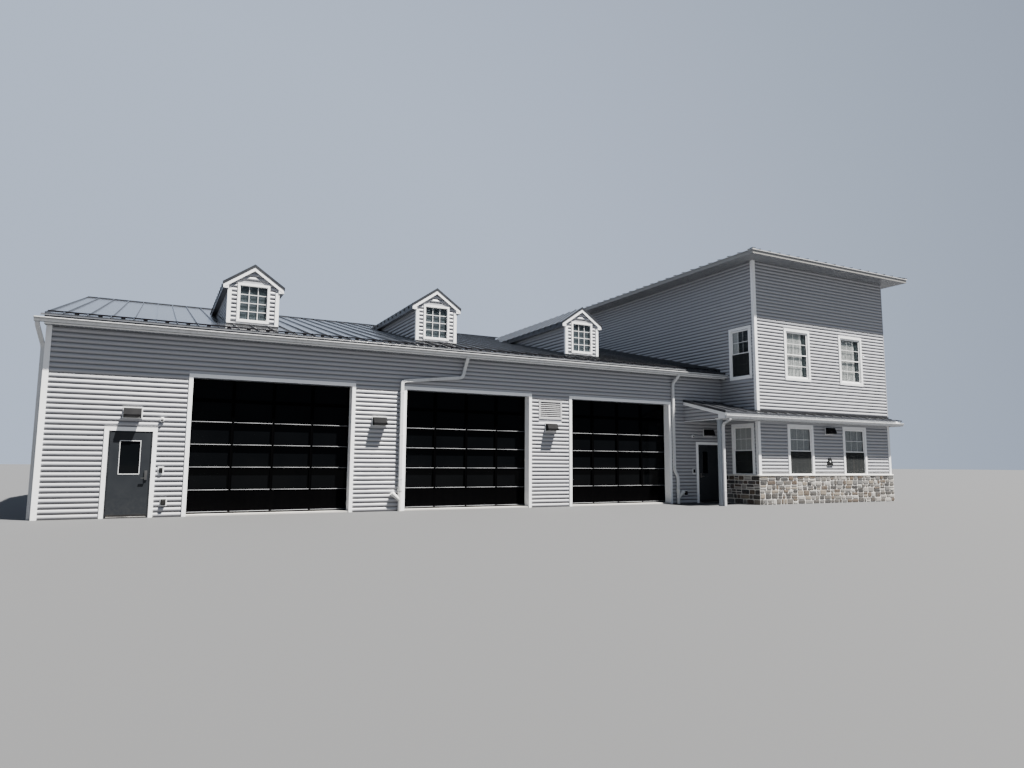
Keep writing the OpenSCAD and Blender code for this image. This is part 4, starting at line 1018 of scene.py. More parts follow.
@dataclass
class Cladding:
    """Lap siding on every wall of the building."""

    course: float = 0.128
    butt: float = 0.0072
    lip: float = 0.002
    panel: float = 3.66
    first_panel: Span = (0.3, 1.0)
    shortest: float = 0.3
    seed: int = 11
    bury: float = 0.02
    vent_shift: float = 0.01
    vent_half: float = 0.448
    vent_zs: Span = (2.927, 3.563)
    rake_drop: float = 0.24
    pent_top: float = 3.43
    pent_drop: float = 0.06
    post_foot: float = 3.44
    post_out: float = 0.004
    dormer_foot: float = 5.565
    dormer_lap: float = 0.08

    def board_edges(self, walls: Sequence[Wall], seed: int) -> Mesh:
        """Top edges of all boards, cut into panel lengths.

        Args:
            walls: Faces to clad.
            seed: Seed for where the panels end.

        Returns:
            Loose edges, one for each board.
        """
        dice = random.Random(seed)
        guide = Mesh()
        for wall in walls:
            for row in range(math.ceil(WING_SOFFIT / self.course)):
                low = row * self.course
                high = low + self.course
                for a, b in wall.runs(low, high):
                    cut = a + dice.uniform(*self.first_panel) * self.panel
                    while cut < b - self.shortest:
                        guide.edge(wall.point(a, high), wall.point(cut, high))
                        a, cut = cut, cut + self.panel
                    guide.edge(wall.point(a, high), wall.point(b, high))
        return guide

    def hang(self, name: str, walls: Sequence[Wall], seed: int) -> None:
        """Clads some walls as one piece, its panels cut by the seed."""
        tree = sweep_tree("lap_boards", {"Course": self.course, "Butt": self.butt, "Lip": self.lip}, LAP)
        grow_piece(tree, self.board_edges(walls, seed), name, Slot.SIDING)

    def hall_walls(self) -> list[Wall]:
        """Faces of the hall.

        Returns:
            Its front, left and back faces.
        """
        holes = [(x - BOARD, x + DOOR_W + BOARD, -1, DOOR_H + BOARD) for x in DOOR_XS]
        holes += [(x - BOARD, x + BAY_W + BOARD, -1, BAY_H + BOARD) for x in BAY_XS]
        vent = (BAY_XS[1] + BAY_W + BAY_XS[2]) / 2 - self.vent_shift
        holes.append((vent - self.vent_half, vent + self.vent_half, *self.vent_zs))
        eave, ground = level(HALL_SOFFIT), level(0.0)
        rake = lambda u: hall_top(HALL_DEPTH - BOARD - u) - self.rake_drop
        return [
            Wall((BOARD, 0), (1, 0), HALL_LEN - BOARD, ground, eave,
                 [(a - BOARD, b - BOARD, c, d) for a, b, c, d in holes]),
            Wall((0, HALL_DEPTH - BOARD), (0, -1), HALL_DEPTH - 2 * BOARD, ground, rake),
            Wall((HALL_LEN, HALL_DEPTH), (-1, 0), HALL_LEN - BOARD, ground, eave),
        ]

    @staticmethod
    def windows(centres: Iterable[float], width: float = WINDOW_W) -> list[Hole]:
        """Boarded outlines of the windows at some centres along a wall."""
        half = width / 2 + BOARD
        return [(c - half, c + half, z - BOARD, z + h + BOARD) for c in centres for z, h in WINDOW_ROWS]

    def wing_walls(self) -> list[Wall]:
        """Faces of the wing, above its stone base.

        Returns:
            Its front, right, back and left faces, most of them split at the pent roof.
        """
        width, length, post = WING_RIGHT - HALL_LEN, HALL_DEPTH - WING_FRONT, CORNER_POST
        low, soffit, high = (level(z) for z in (STONE_TOP, PENT_SOFFIT, WING_SOFFIT))
        above, roof = level(self.pent_top), lambda u: hall_top(HALL_DEPTH - u) + 0.05
        front = self.windows(x - HALL_LEN - BOARD for x in FRONT_WINDOWS)
        lower_right = self.windows(y - WING_FRONT - BOARD for y in RIGHT_WINDOWS)
        upper_right = self.windows(y - WING_FRONT - post for y in RIGHT_WINDOWS)
        lower_back = self.windows(WING_RIGHT - BOARD - x for x in FRONT_WINDOWS)
        upper_back = self.windows(WING_RIGHT - post - x for x in FRONT_WINDOWS)
        side = self.windows([-SIDE_WINDOW_Y], SIDE_WINDOW_W)
        return [
            Wall((HALL_LEN + BOARD, WING_FRONT), (1, 0), width - 2 * BOARD, low, soffit, front),
            Wall((HALL_LEN + BOARD, WING_FRONT), (1, 0), width - BOARD - post, above, high, front),
            Wall((WING_RIGHT, WING_FRONT + BOARD), (0, 1), length - 2 * BOARD, low, soffit, lower_right),
            Wall((WING_RIGHT, WING_FRONT + post), (0, 1), length - 2 * post, above, high, upper_right),
            Wall((WING_RIGHT - BOARD, HALL_DEPTH), (-1, 0), width - BOARD, low, soffit, lower_back),
            Wall((WING_RIGHT - post, HALL_DEPTH), (-1, 0), width - post, soffit, high, upper_back),
            Wall((HALL_LEN, 0), (0, -1), -WING_FRONT - BOARD, low, high, side),
            Wall((HALL_LEN, HALL_DEPTH), (0, -1), HALL_DEPTH, roof, high, step=0.2),
        ]

    def dormer_walls(self) -> list[Wall]:
        """Faces of the dormers.

        Returns:
            The front and both cheeks of each.
        """
        half, start, lap = DORMER_HALF - DORMER_BOARD, DORMER_Y + DORMER_BOARD, self.dormer_lap
        meets = (DORMER_BOX_Z - HALL_ROOF_Z) / PITCH
        reach, (low, high) = DORMER_PANE_HALF + lap, DORMER_PANE_ZS
        window = (half - reach, half + reach, low - lap, high + lap)
        foot, box = level(self.dormer_foot), level(DORMER_BOX_Z)
        gable = lambda u: DORMER_WALL_Z + DORMER_PITCH * (DORMER_HALF - abs(u - half)) - self.bury
        rising = lambda u: hall_top(start + u) - self.bury
        falling = lambda u: hall_top(meets - u) - self.bury
        walls = []
        for x in DORMER_XS:
            walls += [
                Wall((x - half, DORMER_Y), (1, 0), 2 * half, foot, gable, [window], step=0.05),
                Wall((x + DORMER_HALF, start), (0, 1), meets - start, rising, box, step=0.1),
                Wall((x - DORMER_HALF, meets), (0, -1), meets - start, falling, box, step=0.1),
            ]
        return walls

    def corner_posts(self) -> None:
        """Narrow posts in the siding's colour on the wing's upper right corners."""
        posts = Mesh()
        out = self.butt + self.post_out
        for y, side in ((WING_FRONT, 1), (HALL_DEPTH, -1)):
            posts.block((WING_RIGHT - CORNER_POST, y - side * out, self.post_foot),
                        (WING_RIGHT + out, y + side * CORNER_POST, WING_SOFFIT - SKIN), 0.003)
        finish_piece(posts.to_object("upper_corner_posts"), Slot.SIDING, finish=POST)

    def build(self) -> None:
        """Clads the hall, the wing, the dormers and the porch end."""
        pent = lambda u: PENT_Z - PITCH * u - self.pent_drop
        end = Wall((PORCH_X, 0), (0, -1), -WING_FRONT, level(PENT_SOFFIT - self.bury), pent, step=0.08)
        groups = (("hall", self.hall_walls()), ("wing", self.wing_walls()), ("dormer", self.dormer_walls()),
                  ("porch", [end]))
        for number, (name, walls) in enumerate(groups):
            self.hang(name + "_siding", walls, self.seed + number)
        self.corner_posts()


@dataclass
class StoneWork:
    """Field stone on the wing's foot with cap stones over it."""

    face: float = 0.06
    height: float = 1.035
    stretches: Span = (1.1, 2.0)
    last_stretch: float = 0.6
    rows: Span = (0.11, 0.21)
    widths: Span = (0.15, 0.44)
    tall: float = 0.16
    cut_share: float = 0.4
    cuts: Span = (0.4, 0.6)
    joint: float = 0.015
    wander: float = 0.011
    knocks: Span = (0.012, 0.032)
    depths: Span = (0.012, 0.011)
    cap_len: float = 0.61
    cap_shares: Span = (0.85, 1.1)
    cap_joint: float = 0.002
    cap_reach: float = 0.084
    cap_wash: float = 0.006
    cap_h: float = 0.05
    seed: int = 23

    def sides(self) -> list[Wall]:
        """Outer faces of the stone base.

        Returns:
            Its front, right, back and left faces.
        """
        f, width = self.face, WING_RIGHT - HALL_LEN
        return [
            bare_face((HALL_LEN - f, WING_FRONT - f), (1, 0), width + 2 * f),
            bare_face((WING_RIGHT + f, WING_FRONT - f), (0, 1), HALL_DEPTH - WING_FRONT + 2 * f),
            bare_face((WING_RIGHT + f, HALL_DEPTH + f), (-1, 0), width + f),
            bare_face((HALL_LEN - f, 0), (0, -1), -WING_FRONT + f),
        ]

    @staticmethod
    def split(total: float, limits: Span, dice: random.Random) -> list[float]:
        """Divides a length into uneven parts.

        Args:
            total: The length.
            limits: Shortest and longest part before they are fitted.
            dice: Source of the unevenness.

        Returns:
            Places of the cuts, from 0 to the whole length.
        """
        parts = []
        while sum(parts) < total - limits[0] / 2:
            parts.append(dice.uniform(*limits))
        marks = [0.0]
        for part in parts:
            marks.append(marks[-1] + part * total / sum(parts))
        return marks

    def cells(self, length: float, dice: random.Random) -> list[list[Span]]:
        """Squared stones that fill a face in broken courses.

        Args:
            length: Length of the face.
            dice: Source of the unevenness.

        Returns:
            Outline of each stone.
        """
        boxes = []
        run = 0.0
        while run < length - 0.01:
            stop = min(length, run + dice.uniform(*self.stretches))
            stop = length if length - stop < self.last_stretch else stop
            levels = self.split(self.height, self.rows, dice)
            for low, high in zip(levels, levels[1:]):
                marks = self.split(stop - run, self.widths, dice)
                for a, b in zip(marks, marks[1:]):
                    if high - low > self.tall and dice.random() < self.cut_share:
                        cut = low + (high - low) * dice.uniform(*self.cuts)
                        boxes += [(run + a, run + b, low, cut), (run + a, run + b, cut, high)]
                    else:
                        boxes.append((run + a, run + b, low, high))
            run = stop
        return [self.outline(box, dice) for box in boxes]

    def outline(self, box: Hole, dice: random.Random) -> list[Span]:
        """Uneven outline of one stone, with its corners knocked off.

        Args:
            box: Left, right, lower and upper edge of the stone's place.
            dice: Source of the unevenness.

        Returns:
            Points of the outline.
        """
        gap, shake = self.joint / 2, lambda: dice.uniform(0.0, self.wander)
        a, b, low, high = (edge + side * gap for edge, side in zip(box, (1, -1, 1, -1)))
        corners = [(a + shake(), low + shake()), (b - shake(), low + shake()),
                   (b - shake(), high - shake()), (a + shake(), high - shake())]
        shape: list[Span] = []
        for k, (x, z) in enumerate(corners):
            for ox, oz in (corners[k - 1], corners[(k + 1) % 4]):
                t = dice.uniform(*self.knocks) / max(0.08, math.hypot(ox - x, oz - z))
                shape.append((x + (ox - x) * t, z + (oz - z) * t))
        return shape

    def cap_row(self, caps: Mesh, side: Wall, dice: random.Random) -> None:
        """Lays the cap stones of one face.

        Args:
            caps: Mesh of the caps' inner edges.
            side: The face.
            dice: Source of the unevenness.
        """
        u = -0.02
        while u < side.length - 0.1:
            stop = min(side.length, u + self.cap_len * dice.uniform(*self.cap_shares))
            ends = (max(u, 0) + self.cap_joint, stop - self.cap_joint)
            caps.edge(*(side.point(end, STONE_TOP, -self.face) for end in ends))
            u = stop

    def build(self) -> None:
        """Lays the stones, then the caps."""
        dice = random.Random(self.seed)
        stones, caps = Mesh(), Mesh()
        for side in self.sides():
            for cell in self.cells(side.length, dice):
                stones.add([side.point(u, z) for u, z in cell], [range(len(cell))])
            self.cap_row(caps, side, dice)
        grow_piece(stone_tree(*self.depths), stones, "field_stones", Slot.STONE)
        sizes = {"Reach": self.cap_reach, "Wash": self.cap_wash, "Height": self.cap_h}
        shape = ((0.0, 0.0), ("Reach", "Wash"), ("Reach", "Height"), (0.0, "Height"))
        tree = sweep_tree("cap_stones", sizes, shape)
        grow_piece(tree, caps, "cap_stones", Slot.CAP, replaces=["stone_cap"])


@dataclass
class BayDoors:
    """Beads, rails and seals on the three sectional doors."""

    lap: float = 0.04
    front: float = 0.29
    floor: float = 0.04
    columns: int = 4
    sections: int = 6
    bar: float = 0.062
    bead: float = 0.014
    proud: float = 0.006
    bead_back: float = 0.01
    hem: Point = (0.004, 0.002, 0.034)
    nose_r: float = 0.009
    nose_zs: Span = (0.05, 0.02)
    seal: Span = (0.015, 0.012)
    foot_seal: Point = (0.003, 0.004, 0.03)
    chamfer: float = 0.003

    def section(self, beads: Mesh, noses: Mesh, x: float, row: int) -> None:
        """Foot strip, rounded noses and glazing beads of one section.

        Args:
            beads: Mesh of the strips and beads.
            noses: Mesh of the noses.
            x: Left edge of the doorway.
            row: Number of the section, from the ground.
        """
        tall = BAY_H / self.sections
        pane = (BAY_W + 2 * self.lap - self.bar) / self.columns - self.bar
        y, z, half = self.front, self.floor + row * tall, self.bead / 2
        near, far = y - self.proud, y + self.bead_back
        inset, back, top = self.hem
        beads.block((x + inset, near, z + inset), (x + BAY_W - inset, y + back, z + top), 0.002)
        for column in range(self.columns):
            a = x - self.lap + self.bar + column * (pane + self.bar)
            b, low, high = a + pane, z + self.bar * 0.6, z + tall - self.bar * 0.6
            if row < self.sections - 1:
                nose_z = z + self.nose_zs[min(row, 1)]
                noses.round_bar([(a, near, nose_z), (b, near, nose_z)], self.nose_r, 10)
            if row:
                for side in (a, b):
                    beads.block((side - half, near, low), (side + half, far, high), self.chamfer)
                for level in (low, high):
                    beads.block((a, near, level - half), (b, far, level + half), self.chamfer)

    def seal_round(self, seals: Mesh, x: float) -> None:
        """Rubber under one door and round its other three edges.

        Args:
            seals: Mesh of the rubber.
            x: Left edge of the doorway.
        """
        (w, d), y, right = self.seal, self.front, x + BAY_W
        inset, near, far = self.foot_seal
        seals.block((x + inset, y + near, self.floor - SKIN),
                    (right - inset, y + far, self.floor + far), 0.006)
        for side in (x + SKIN, right - SKIN - w):
            seals.block((side, y - d, self.floor), (side + w, y - SKIN, BAY_H), self.chamfer)
        seals.block((x + SKIN, y - d, BAY_H - SKIN - w), (right - SKIN, y - SKIN, BAY_H - SKIN), self.chamfer)

    def build(self) -> None:
        """Adds the rails' rounded noses, the glazing beads and the seals."""
        beads, seals, noses = Mesh(), Mesh(), Mesh()
        for x in BAY_XS:
            for row in range(self.sections):
                self.section(beads, noses, x, row)
            self.seal_round(seals, x)
        finish_piece(beads.to_object("door_beads"), Slot.DOOR)
        finish_piece(noses.to_object("rail_noses", smooth=True), Slot.DOOR, finish=NOSE_HIGHLIGHT)
        finish_piece(seals.to_object("door_seals"), Slot.DOOR, finish=RUBBER)


@dataclass(frozen=True)
class Opening:
    """One window opening: the face that it stands in, its left and lower edges and its size."""

    wall: Wall
    left: float
    foot: float
    w: float
    h: float

    def bar(self, mesh: Mesh, us: Span, zs: Span, depths: Span, edge: float = 0.003) -> None:
        """Adds a bar by its ends along the wall, its ends upwards and the depths of its faces."""
        ends = (self.wall.point(self.left + u, self.foot + z, -d) - ORIGIN for u, z, d in zip(us, zs, depths))
        mesh.block(*ends, edge)


@dataclass
class Windows:
    """Double-hung windows of the wing, with screens and vertical blinds."""

    frame_w: float = 0.032
    frame_lap: float = 0.002
    depth: float = 0.034
    sash_w: float = 0.034
    sash_t: float = 0.017
    sash_ys: Span = (0.006, 0.016)
    meeting: float = 0.018
    upright_bar: Point = (0.006, 0.01, 0.015)
    level_bar: Point = (0.016, 0.008, 0.016)
    screen_gap: float = 0.004
    screen_top: float = 0.02
    screen_ys: Span = (0.006, 0.0075)
    rail_inset: float = 0.01
    rail_h: float = 0.04
    rail_ys: Span = (0.05, 0.09)
    vane: float = 0.085
    vane_t: float = 0.0008
    vane_ys: Span = (0.055, 0.076)
    vane_foot: float = 0.03
    vane_step: float = 0.076
    front_covered: float = 0.78
    side_covered: float = 0.35
    white: Mesh = field(default_factory=Mesh)
    screens: Mesh = field(default_factory=Mesh)
    vanes: Mesh = field(default_factory=Mesh)

    def sash(self, hole: Opening, zs: Span, near: float) -> None:
        """One sash with two upright bars and a level one between its panes.

        Args:
            hole: Opening that it stands in.
            zs: Its lower and upper edges.
            near: How far it lies behind the wall's face.
        """
        (low, high), s, left, right = zs, self.sash_w, self.frame_w, hole.w - self.frame_w
        depths = (near, near + self.sash_t)
        for us in ((left, left + s), (right - s, right)):
            hole.bar(self.white, us, zs, depths)
        inner = (left + s, right - s)
        for levels in ((low, low + s), (high - s, high)):
            hole.bar(self.white, inner, levels, depths)
        w, front, back = self.upright_bar
        depths = (near + front, near + back)
        for k in (1, 2):
            c = inner[0] + (inner[1] - inner[0]) * k / 3
            hole.bar(self.white, (c - w / 2, c + w / 2), (low + s, high - s), depths, 0.0)
        (w, front, back), c = self.level_bar, (low + high) / 2
        hole.bar(self.white, inner, (c - w / 2, c + w / 2), (near + front, near + back), 0.0)

    def blind(self, hole: Opening, covered: float) -> None:
        """Turned upright vanes under a head rail, behind the glass.

        Args:
            hole: Opening that it hangs in.
            covered: Share of the width that the vanes cover.
        """
        inset, top = self.rail_inset, hole.h - self.rail_inset
        hole.bar(self.vanes, (inset, hole.w - inset), (top - self.rail_h, top), self.rail_ys)
        near, far = self.vane_ys
        for k in range(int((hole.w - 2 * inset) * covered / self.vane_step)):
            a = hole.left + inset + k * self.vane_step
            b, t = a + self.vane, self.vane_t
            corners = ((a, near), (a + t, near - t), (b, far), (b - t, far + t))
            levels = (hole.foot + self.vane_foot, hole.foot + top - self.rail_h)
            self.vanes.add([hole.wall.point(u, z, -back) for z in levels for u, back in corners],
                           [(3, 2, 1, 0), (4, 5, 6, 7)] + side_faces(4))

    def unit(self, hole: Opening, screened: bool, covered: float) -> None:
        """One double-hung window with its blind.

        Args:
            hole: Opening that it fills.
            screened: Whether a screen covers the lower sash.
            covered: Share of the width that the blind covers.
        """
        f, w, h, mid = self.frame_w, hole.w, hole.h, hole.h / 2
        for us in ((0, f), (w - f, w)):
            hole.bar(self.white, us, (0, h), (0.0, self.depth))
        for zs in ((0, f), (h - f, h)):
            hole.bar(self.white, (f - self.frame_lap, w - f + self.frame_lap), zs, (0.0, self.depth))
        upper, lower = self.sash_ys
        self.sash(hole, (mid - self.meeting, h - f), upper)
        self.sash(hole, (f, mid + self.meeting), lower)
        if screened:
            hole.bar(self.screens, (f + self.screen_gap, w - f - self.screen_gap), (f, mid - self.screen_top),
                     self.screen_ys, 0.0)
        self.blind(hole, covered)

    def build(self) -> None:
        """Builds every window of the wing, in place of the plain frames."""
        front = bare_face((HALL_LEN, WING_FRONT), (1, 0))
        back = bare_face((WING_RIGHT, HALL_DEPTH), (-1, 0))
        right = bare_face((WING_RIGHT, WING_FRONT), (0, 1))
        side = bare_face((HALL_LEN, 0), (0, -1))
        half = WINDOW_W / 2
        for row, (z, h) in enumerate(WINDOW_ROWS):
            low, w = row == 0, WINDOW_W
            for x in FRONT_WINDOWS:
                hole = Opening(front, x - HALL_LEN - half, z, w, h)
                self.unit(hole, low, 1.0 if low else self.front_covered)
                self.unit(Opening(back, WING_RIGHT - x - half, z, w, h), True, 1.0)
            for y in RIGHT_WINDOWS:
                self.unit(Opening(right, y - WING_FRONT - half, z, w, h), True, 1.0)
            hole = Opening(side, -SIDE_WINDOW_Y - SIDE_WINDOW_W / 2, z, SIDE_WINDOW_W, h)
            self.unit(hole, True, 1.0 if low else self.side_covered)
        white = self.white.to_object("double_hung_windows")
        finish_piece(white, Slot.WINDOW_FRAME, replaces=["wing_windows"])
        finish_piece(self.screens.to_object("insect_screens"), Slot.WINDOW_FRAME, finish=SCREEN)
        finish_piece(self.vanes.to_object("window_blinds"), Slot.WINDOW_FRAME, finish=BLIND)


@dataclass
class DormerWindows:
    """Crossed bars of the dormer windows, and dark bluish panels behind their glass as painted shade and
    painted reflection.
    """

    columns: int = 3
    rows: int = 4
    bar: float = 0.015
    bury: float = 0.005
    upright_ys: Span = (0.015, 0.0295)
    level_ys: Span = (0.014, 0.029)
    panel_ys: Span = (0.06, 0.072)
    panel_lap: float = 0.025

    def build(self) -> None:
        """Makes the bars and the panels of the three dormers."""
        grid, backs = Mesh(), Mesh()
        (foot, top), half, w = DORMER_PANE_ZS, DORMER_PANE_HALF, self.bar / 2
        low, high, reach, lap = foot - self.bury, top + self.bury, half + self.bury, self.panel_lap
        for x in DORMER_XS:
            near, far = (DORMER_Y + y for y in self.upright_ys)
            for k in range(1, self.columns):
                c = x - half + 2 * half * k / self.columns
                grid.block((c - w, near, low), (c + w, far, high))
            near, far = (DORMER_Y + y for y in self.level_ys)
            for k in range(1, self.rows):
                c = foot + k * (top - foot) / self.rows
                grid.block((x - reach, near, c - w), (x + reach, far, c + w))
            near, far = (DORMER_Y + y for y in self.panel_ys)
            backs.block((x - half - lap, near, foot - lap), (x + half + lap, far, top + lap), 0.002)
        finish_piece(grid.to_object("dormer_window_bars"), Slot.WINDOW_FRAME)
        finish_piece(backs.to_object("dormer_window_panels"), Slot.WINDOW_FRAME, finish=DORMER_SHADE_PANEL)


def point_tree(name: str, sizes: dict[str, float], lean: float) -> GrowTree:
    """Tree that sets a block, or a round head, on each point of its guide.

    Args:
        name: Name of the tree.
        sizes: Width, depth and height of the block, or radius and depth of the head.
        lean: How far it leans back, in radians.

    Returns:
        The tree.
    """
    tree = GrowTree(name, sizes)
    sockets = {key: tree.size(key) for key in sizes}
    if "Radius" in sizes:
        shape = tree.add("GeometryNodeMeshCylinder", {"Vertices": 10, **sockets})
    else:
        box = tree.add("ShaderNodeCombineXYZ", dict(enumerate(sockets.values())))
        shape = tree.add("GeometryNodeMeshCube", {"Size": box.outputs[0]})
    inputs = {"Points": tree.start.outputs[0], "Instance": shape.outputs[0], "Rotation": (lean, 0.0, 0.0)}
    tree.close(tree.add("GeometryNodeInstanceOnPoints", inputs).outputs[0])
    return tree


@dataclass
class SnowGuard:
    """Flat bar along the front eave, its clamps on the seams and its feet on strips between them."""

    bar_y: float = 0.2
    bar: Span = (0.012, 0.054)
    bar_t: float = 0.012
    bar_ends: Span = (-0.05, HALL_LEN - 0.03)
    strip: Point = (0.045, 0.2, 0.004)
    foot: Point = (0.1, 0.03, 0.044)
    clamp: Point = (0.036, 0.04, 0.044)
    clamp_z: float = 0.034
    ends: Span = (0.1, HALL_LEN - 0.1)
    first_seam: float = -0.17
    step: float = 0.508

    def build(self) -> None:
        """Makes the bar, the feet, the strips and the clamps."""
        (low, high), (a, b), base = self.bar, self.bar_ends, hall_top(self.bar_y)
        rail, feet, strips, clamps = Mesh(), Mesh(), Mesh(), Mesh()
        rail.block((a, self.bar_y, base + low), (b, self.bar_y + self.bar_t, base + high), 0.002)
        finish_piece(rail.to_object("snow_guard_bar"), Slot.RAIL, replaces=["snow_rail"])
        back = self.bar_y + self.bar_t / 2
        front = self.bar_y - self.strip[1] + self.foot[1]
        between = (front + back) / 2
        for k in range(round(HALL_LEN / self.step)):
            seam = self.first_seam + k * self.step
            middle = seam + self.step / 2
            if self.ends[0] < middle < self.ends[1]:
                feet.verts.append(place(middle, front, hall_top(front) + self.foot[2] / 2))
                strips.verts.append(place(middle, between, hall_top(between) + self.strip[2] / 2))
            if self.ends[0] < seam < self.ends[1]:
                clamps.verts.append(place(seam, back, hall_top(back) + self.clamp_z))
        kinds = (("feet", feet, self.foot, Slot.RAIL), ("strips", strips, self.strip, Slot.ROOF),
                 ("clamps", clamps, self.clamp, Slot.RAIL))
        for kind, guide, size, slot in kinds:
            name = "snow_guard_" + kind
            sizes = dict(zip(("Width", "Depth", "Height"), size))
            grow_piece(point_tree(name, sizes, math.atan(PITCH)), guide, name, slot)


@dataclass
class Dormers:
    """Seamed roofs, rake boards, boxed eaves and corner boards of the dormers."""

    reach: float = 0.155
    ahead: float = 0.055
    sheet: float = 0.075
    rake_h: float = 0.11
    board_w: float = DORMER_BOARD
    board_t: float = 0.025
    lining: float = 0.012
    seam: Span = (0.016, 0.025)
    seam_step: float = 0.458
    seam_over: float = 0.006
    hook: Span = (0.008, 0.016)
    edge_t: float = 0.0105
    sink: float = 0.02
    foot_board: float = 0.055

    def arch(self, x: float, lift: float, thick: float, half: float | None = None) -> list[Span]:
        """Section of a bent sheet over one dormer, lift above its wall tops.

        Args:
            x: Middle of the dormer.
            lift: Height of its underside above the wall tops.
            thick: Upright thickness.
            half: How far it comes down to each side, where it isn't the whole roof.

        Returns:
            Corners of the section.
        """
        half = half or DORMER_HALF + self.reach
        top = DORMER_WALL_Z + DORMER_PITCH * DORMER_HALF + lift
        low = top - DORMER_PITCH * half
        return [(x - half, low), (x, top), (x + half, low), (x + half, low + thick), (x, top + thick),
                (x - half, low + thick)]

    def seams(self, mesh: Mesh, x: float, start: float) -> None:
        """Standing seams over one roof, each hooked over the eaves where it reaches them.

        Args:
            mesh: Mesh of the roofs.
            x: Middle of the dormer.
            start: Front edge of the roof.
        """
        peak = DORMER_WALL_Z + DORMER_PITCH * DORMER_HALF + self.sheet
        (wide, high), (inside, outside) = self.seam, self.hook
        full = DORMER_HALF + self.reach
        y = start
        while hall_top(y) < peak - 0.1:
            reach = min(full + self.seam_over, (peak - hall_top(y)) / DORMER_PITCH)
            stop = y + wide
            mesh.prism(self.arch(x, self.sheet - SKIN, high + SKIN, reach), y, lambda z: stop)
            if reach > full:
                fall = peak - DORMER_PITCH * reach
                for side in (-1, 1):
                    edge = x + side * (reach - inside)
                    mesh.block((edge, y - self.seam_over, fall - self.sheet - 0.01),
                               (edge + side * (inside + outside), stop + self.seam_over, fall + high), 0.002)
            y += self.seam_step

    def roof(self, mesh: Mesh, x: float) -> None:
        """One roof with its seams, run back into the hall's roof.

        Args:
            mesh: Mesh of the roofs.
            x: Middle of the dormer.
        """
        start, full = DORMER_Y - self.ahead, DORMER_HALF + self.reach
        meets = lambda z: max(start + 0.05, (z - HALL_ROOF_Z) / PITCH + 0.04)
        mesh.prism(self.arch(x, 0.0, self.sheet), start, meets)
        self.seams(mesh, x, start)
        low, high = DORMER_BOX_Z - 0.004, DORMER_WALL_Z - DORMER_PITCH * self.reach + 0.004
        for side in (-1, 1):
            near, far = x + side * (full - SKIN - self.edge_t), x + side * (full - SKIN)
            mesh.prism([(near, low), (far, low), (far, high), (near, high)], start + 0.04, meets)

    def trim(self, mesh: Mesh, x: float) -> None:
        """Rake boards, lining, boxed eaves, corner boards and foot board of one dormer.

        Args:
            mesh: Mesh of the boards.
            x: Middle of the dormer.
        """
        front, face, t = DORMER_Y - self.ahead + 0.006, DORMER_Y - SKIN, self.board_t
        mesh.prism(self.arch(x, -self.rake_h, self.rake_h - SKIN / 2), front, lambda z: front + t)
        mesh.prism(self.arch(x, -self.lining, self.lining - SKIN / 2), front + t, lambda z: face)
        meets = lambda z: (z - HALL_ROOF_Z) / PITCH + self.sink
        edge, inside = DORMER_HALF + self.reach - 0.012, DORMER_HALF - self.board_w
        eave = DORMER_WALL_Z - DORMER_PITCH * (edge - DORMER_HALF)
        foot = hall_top(DORMER_Y) - self.sink
        for side in (-1, 1):
            near, far = x + side * (DORMER_HALF + SKIN), x + side * edge
            mesh.prism([(near, DORMER_BOX_Z), (far, DORMER_BOX_Z), (far, eave - SKIN),
                        (near, DORMER_WALL_Z - 0.002)], front + 0.004, meets)
            outer, inner = x + side * (DORMER_HALF + t), x + side * inside
            mesh.block((inner, DORMER_Y - t, foot), (outer, face, DORMER_BOX_Z), 0.002)
            mesh.block((near, face, foot), (outer, DORMER_Y + self.board_w, DORMER_BOX_Z), 0.002)
        mesh.block((x - inside, DORMER_Y - t, foot),
                   (x + inside, face, hall_top(DORMER_Y) + self.foot_board), 0.002)

    def build(self) -> None:
        """Builds the three dormers' roofs and white parts."""
        roofs, boards = Mesh(), Mesh()
        for x in DORMER_XS:
            self.roof(roofs, x)
            self.trim(boards, x)
        finish_piece(roofs.to_object("dormer_seam_roofs"), Slot.ROOF, replaces=["dormer_roofs"])
        finish_piece(boards.to_object("dormer_boards"), Slot.TRIM, replaces=["dormer_trim"])


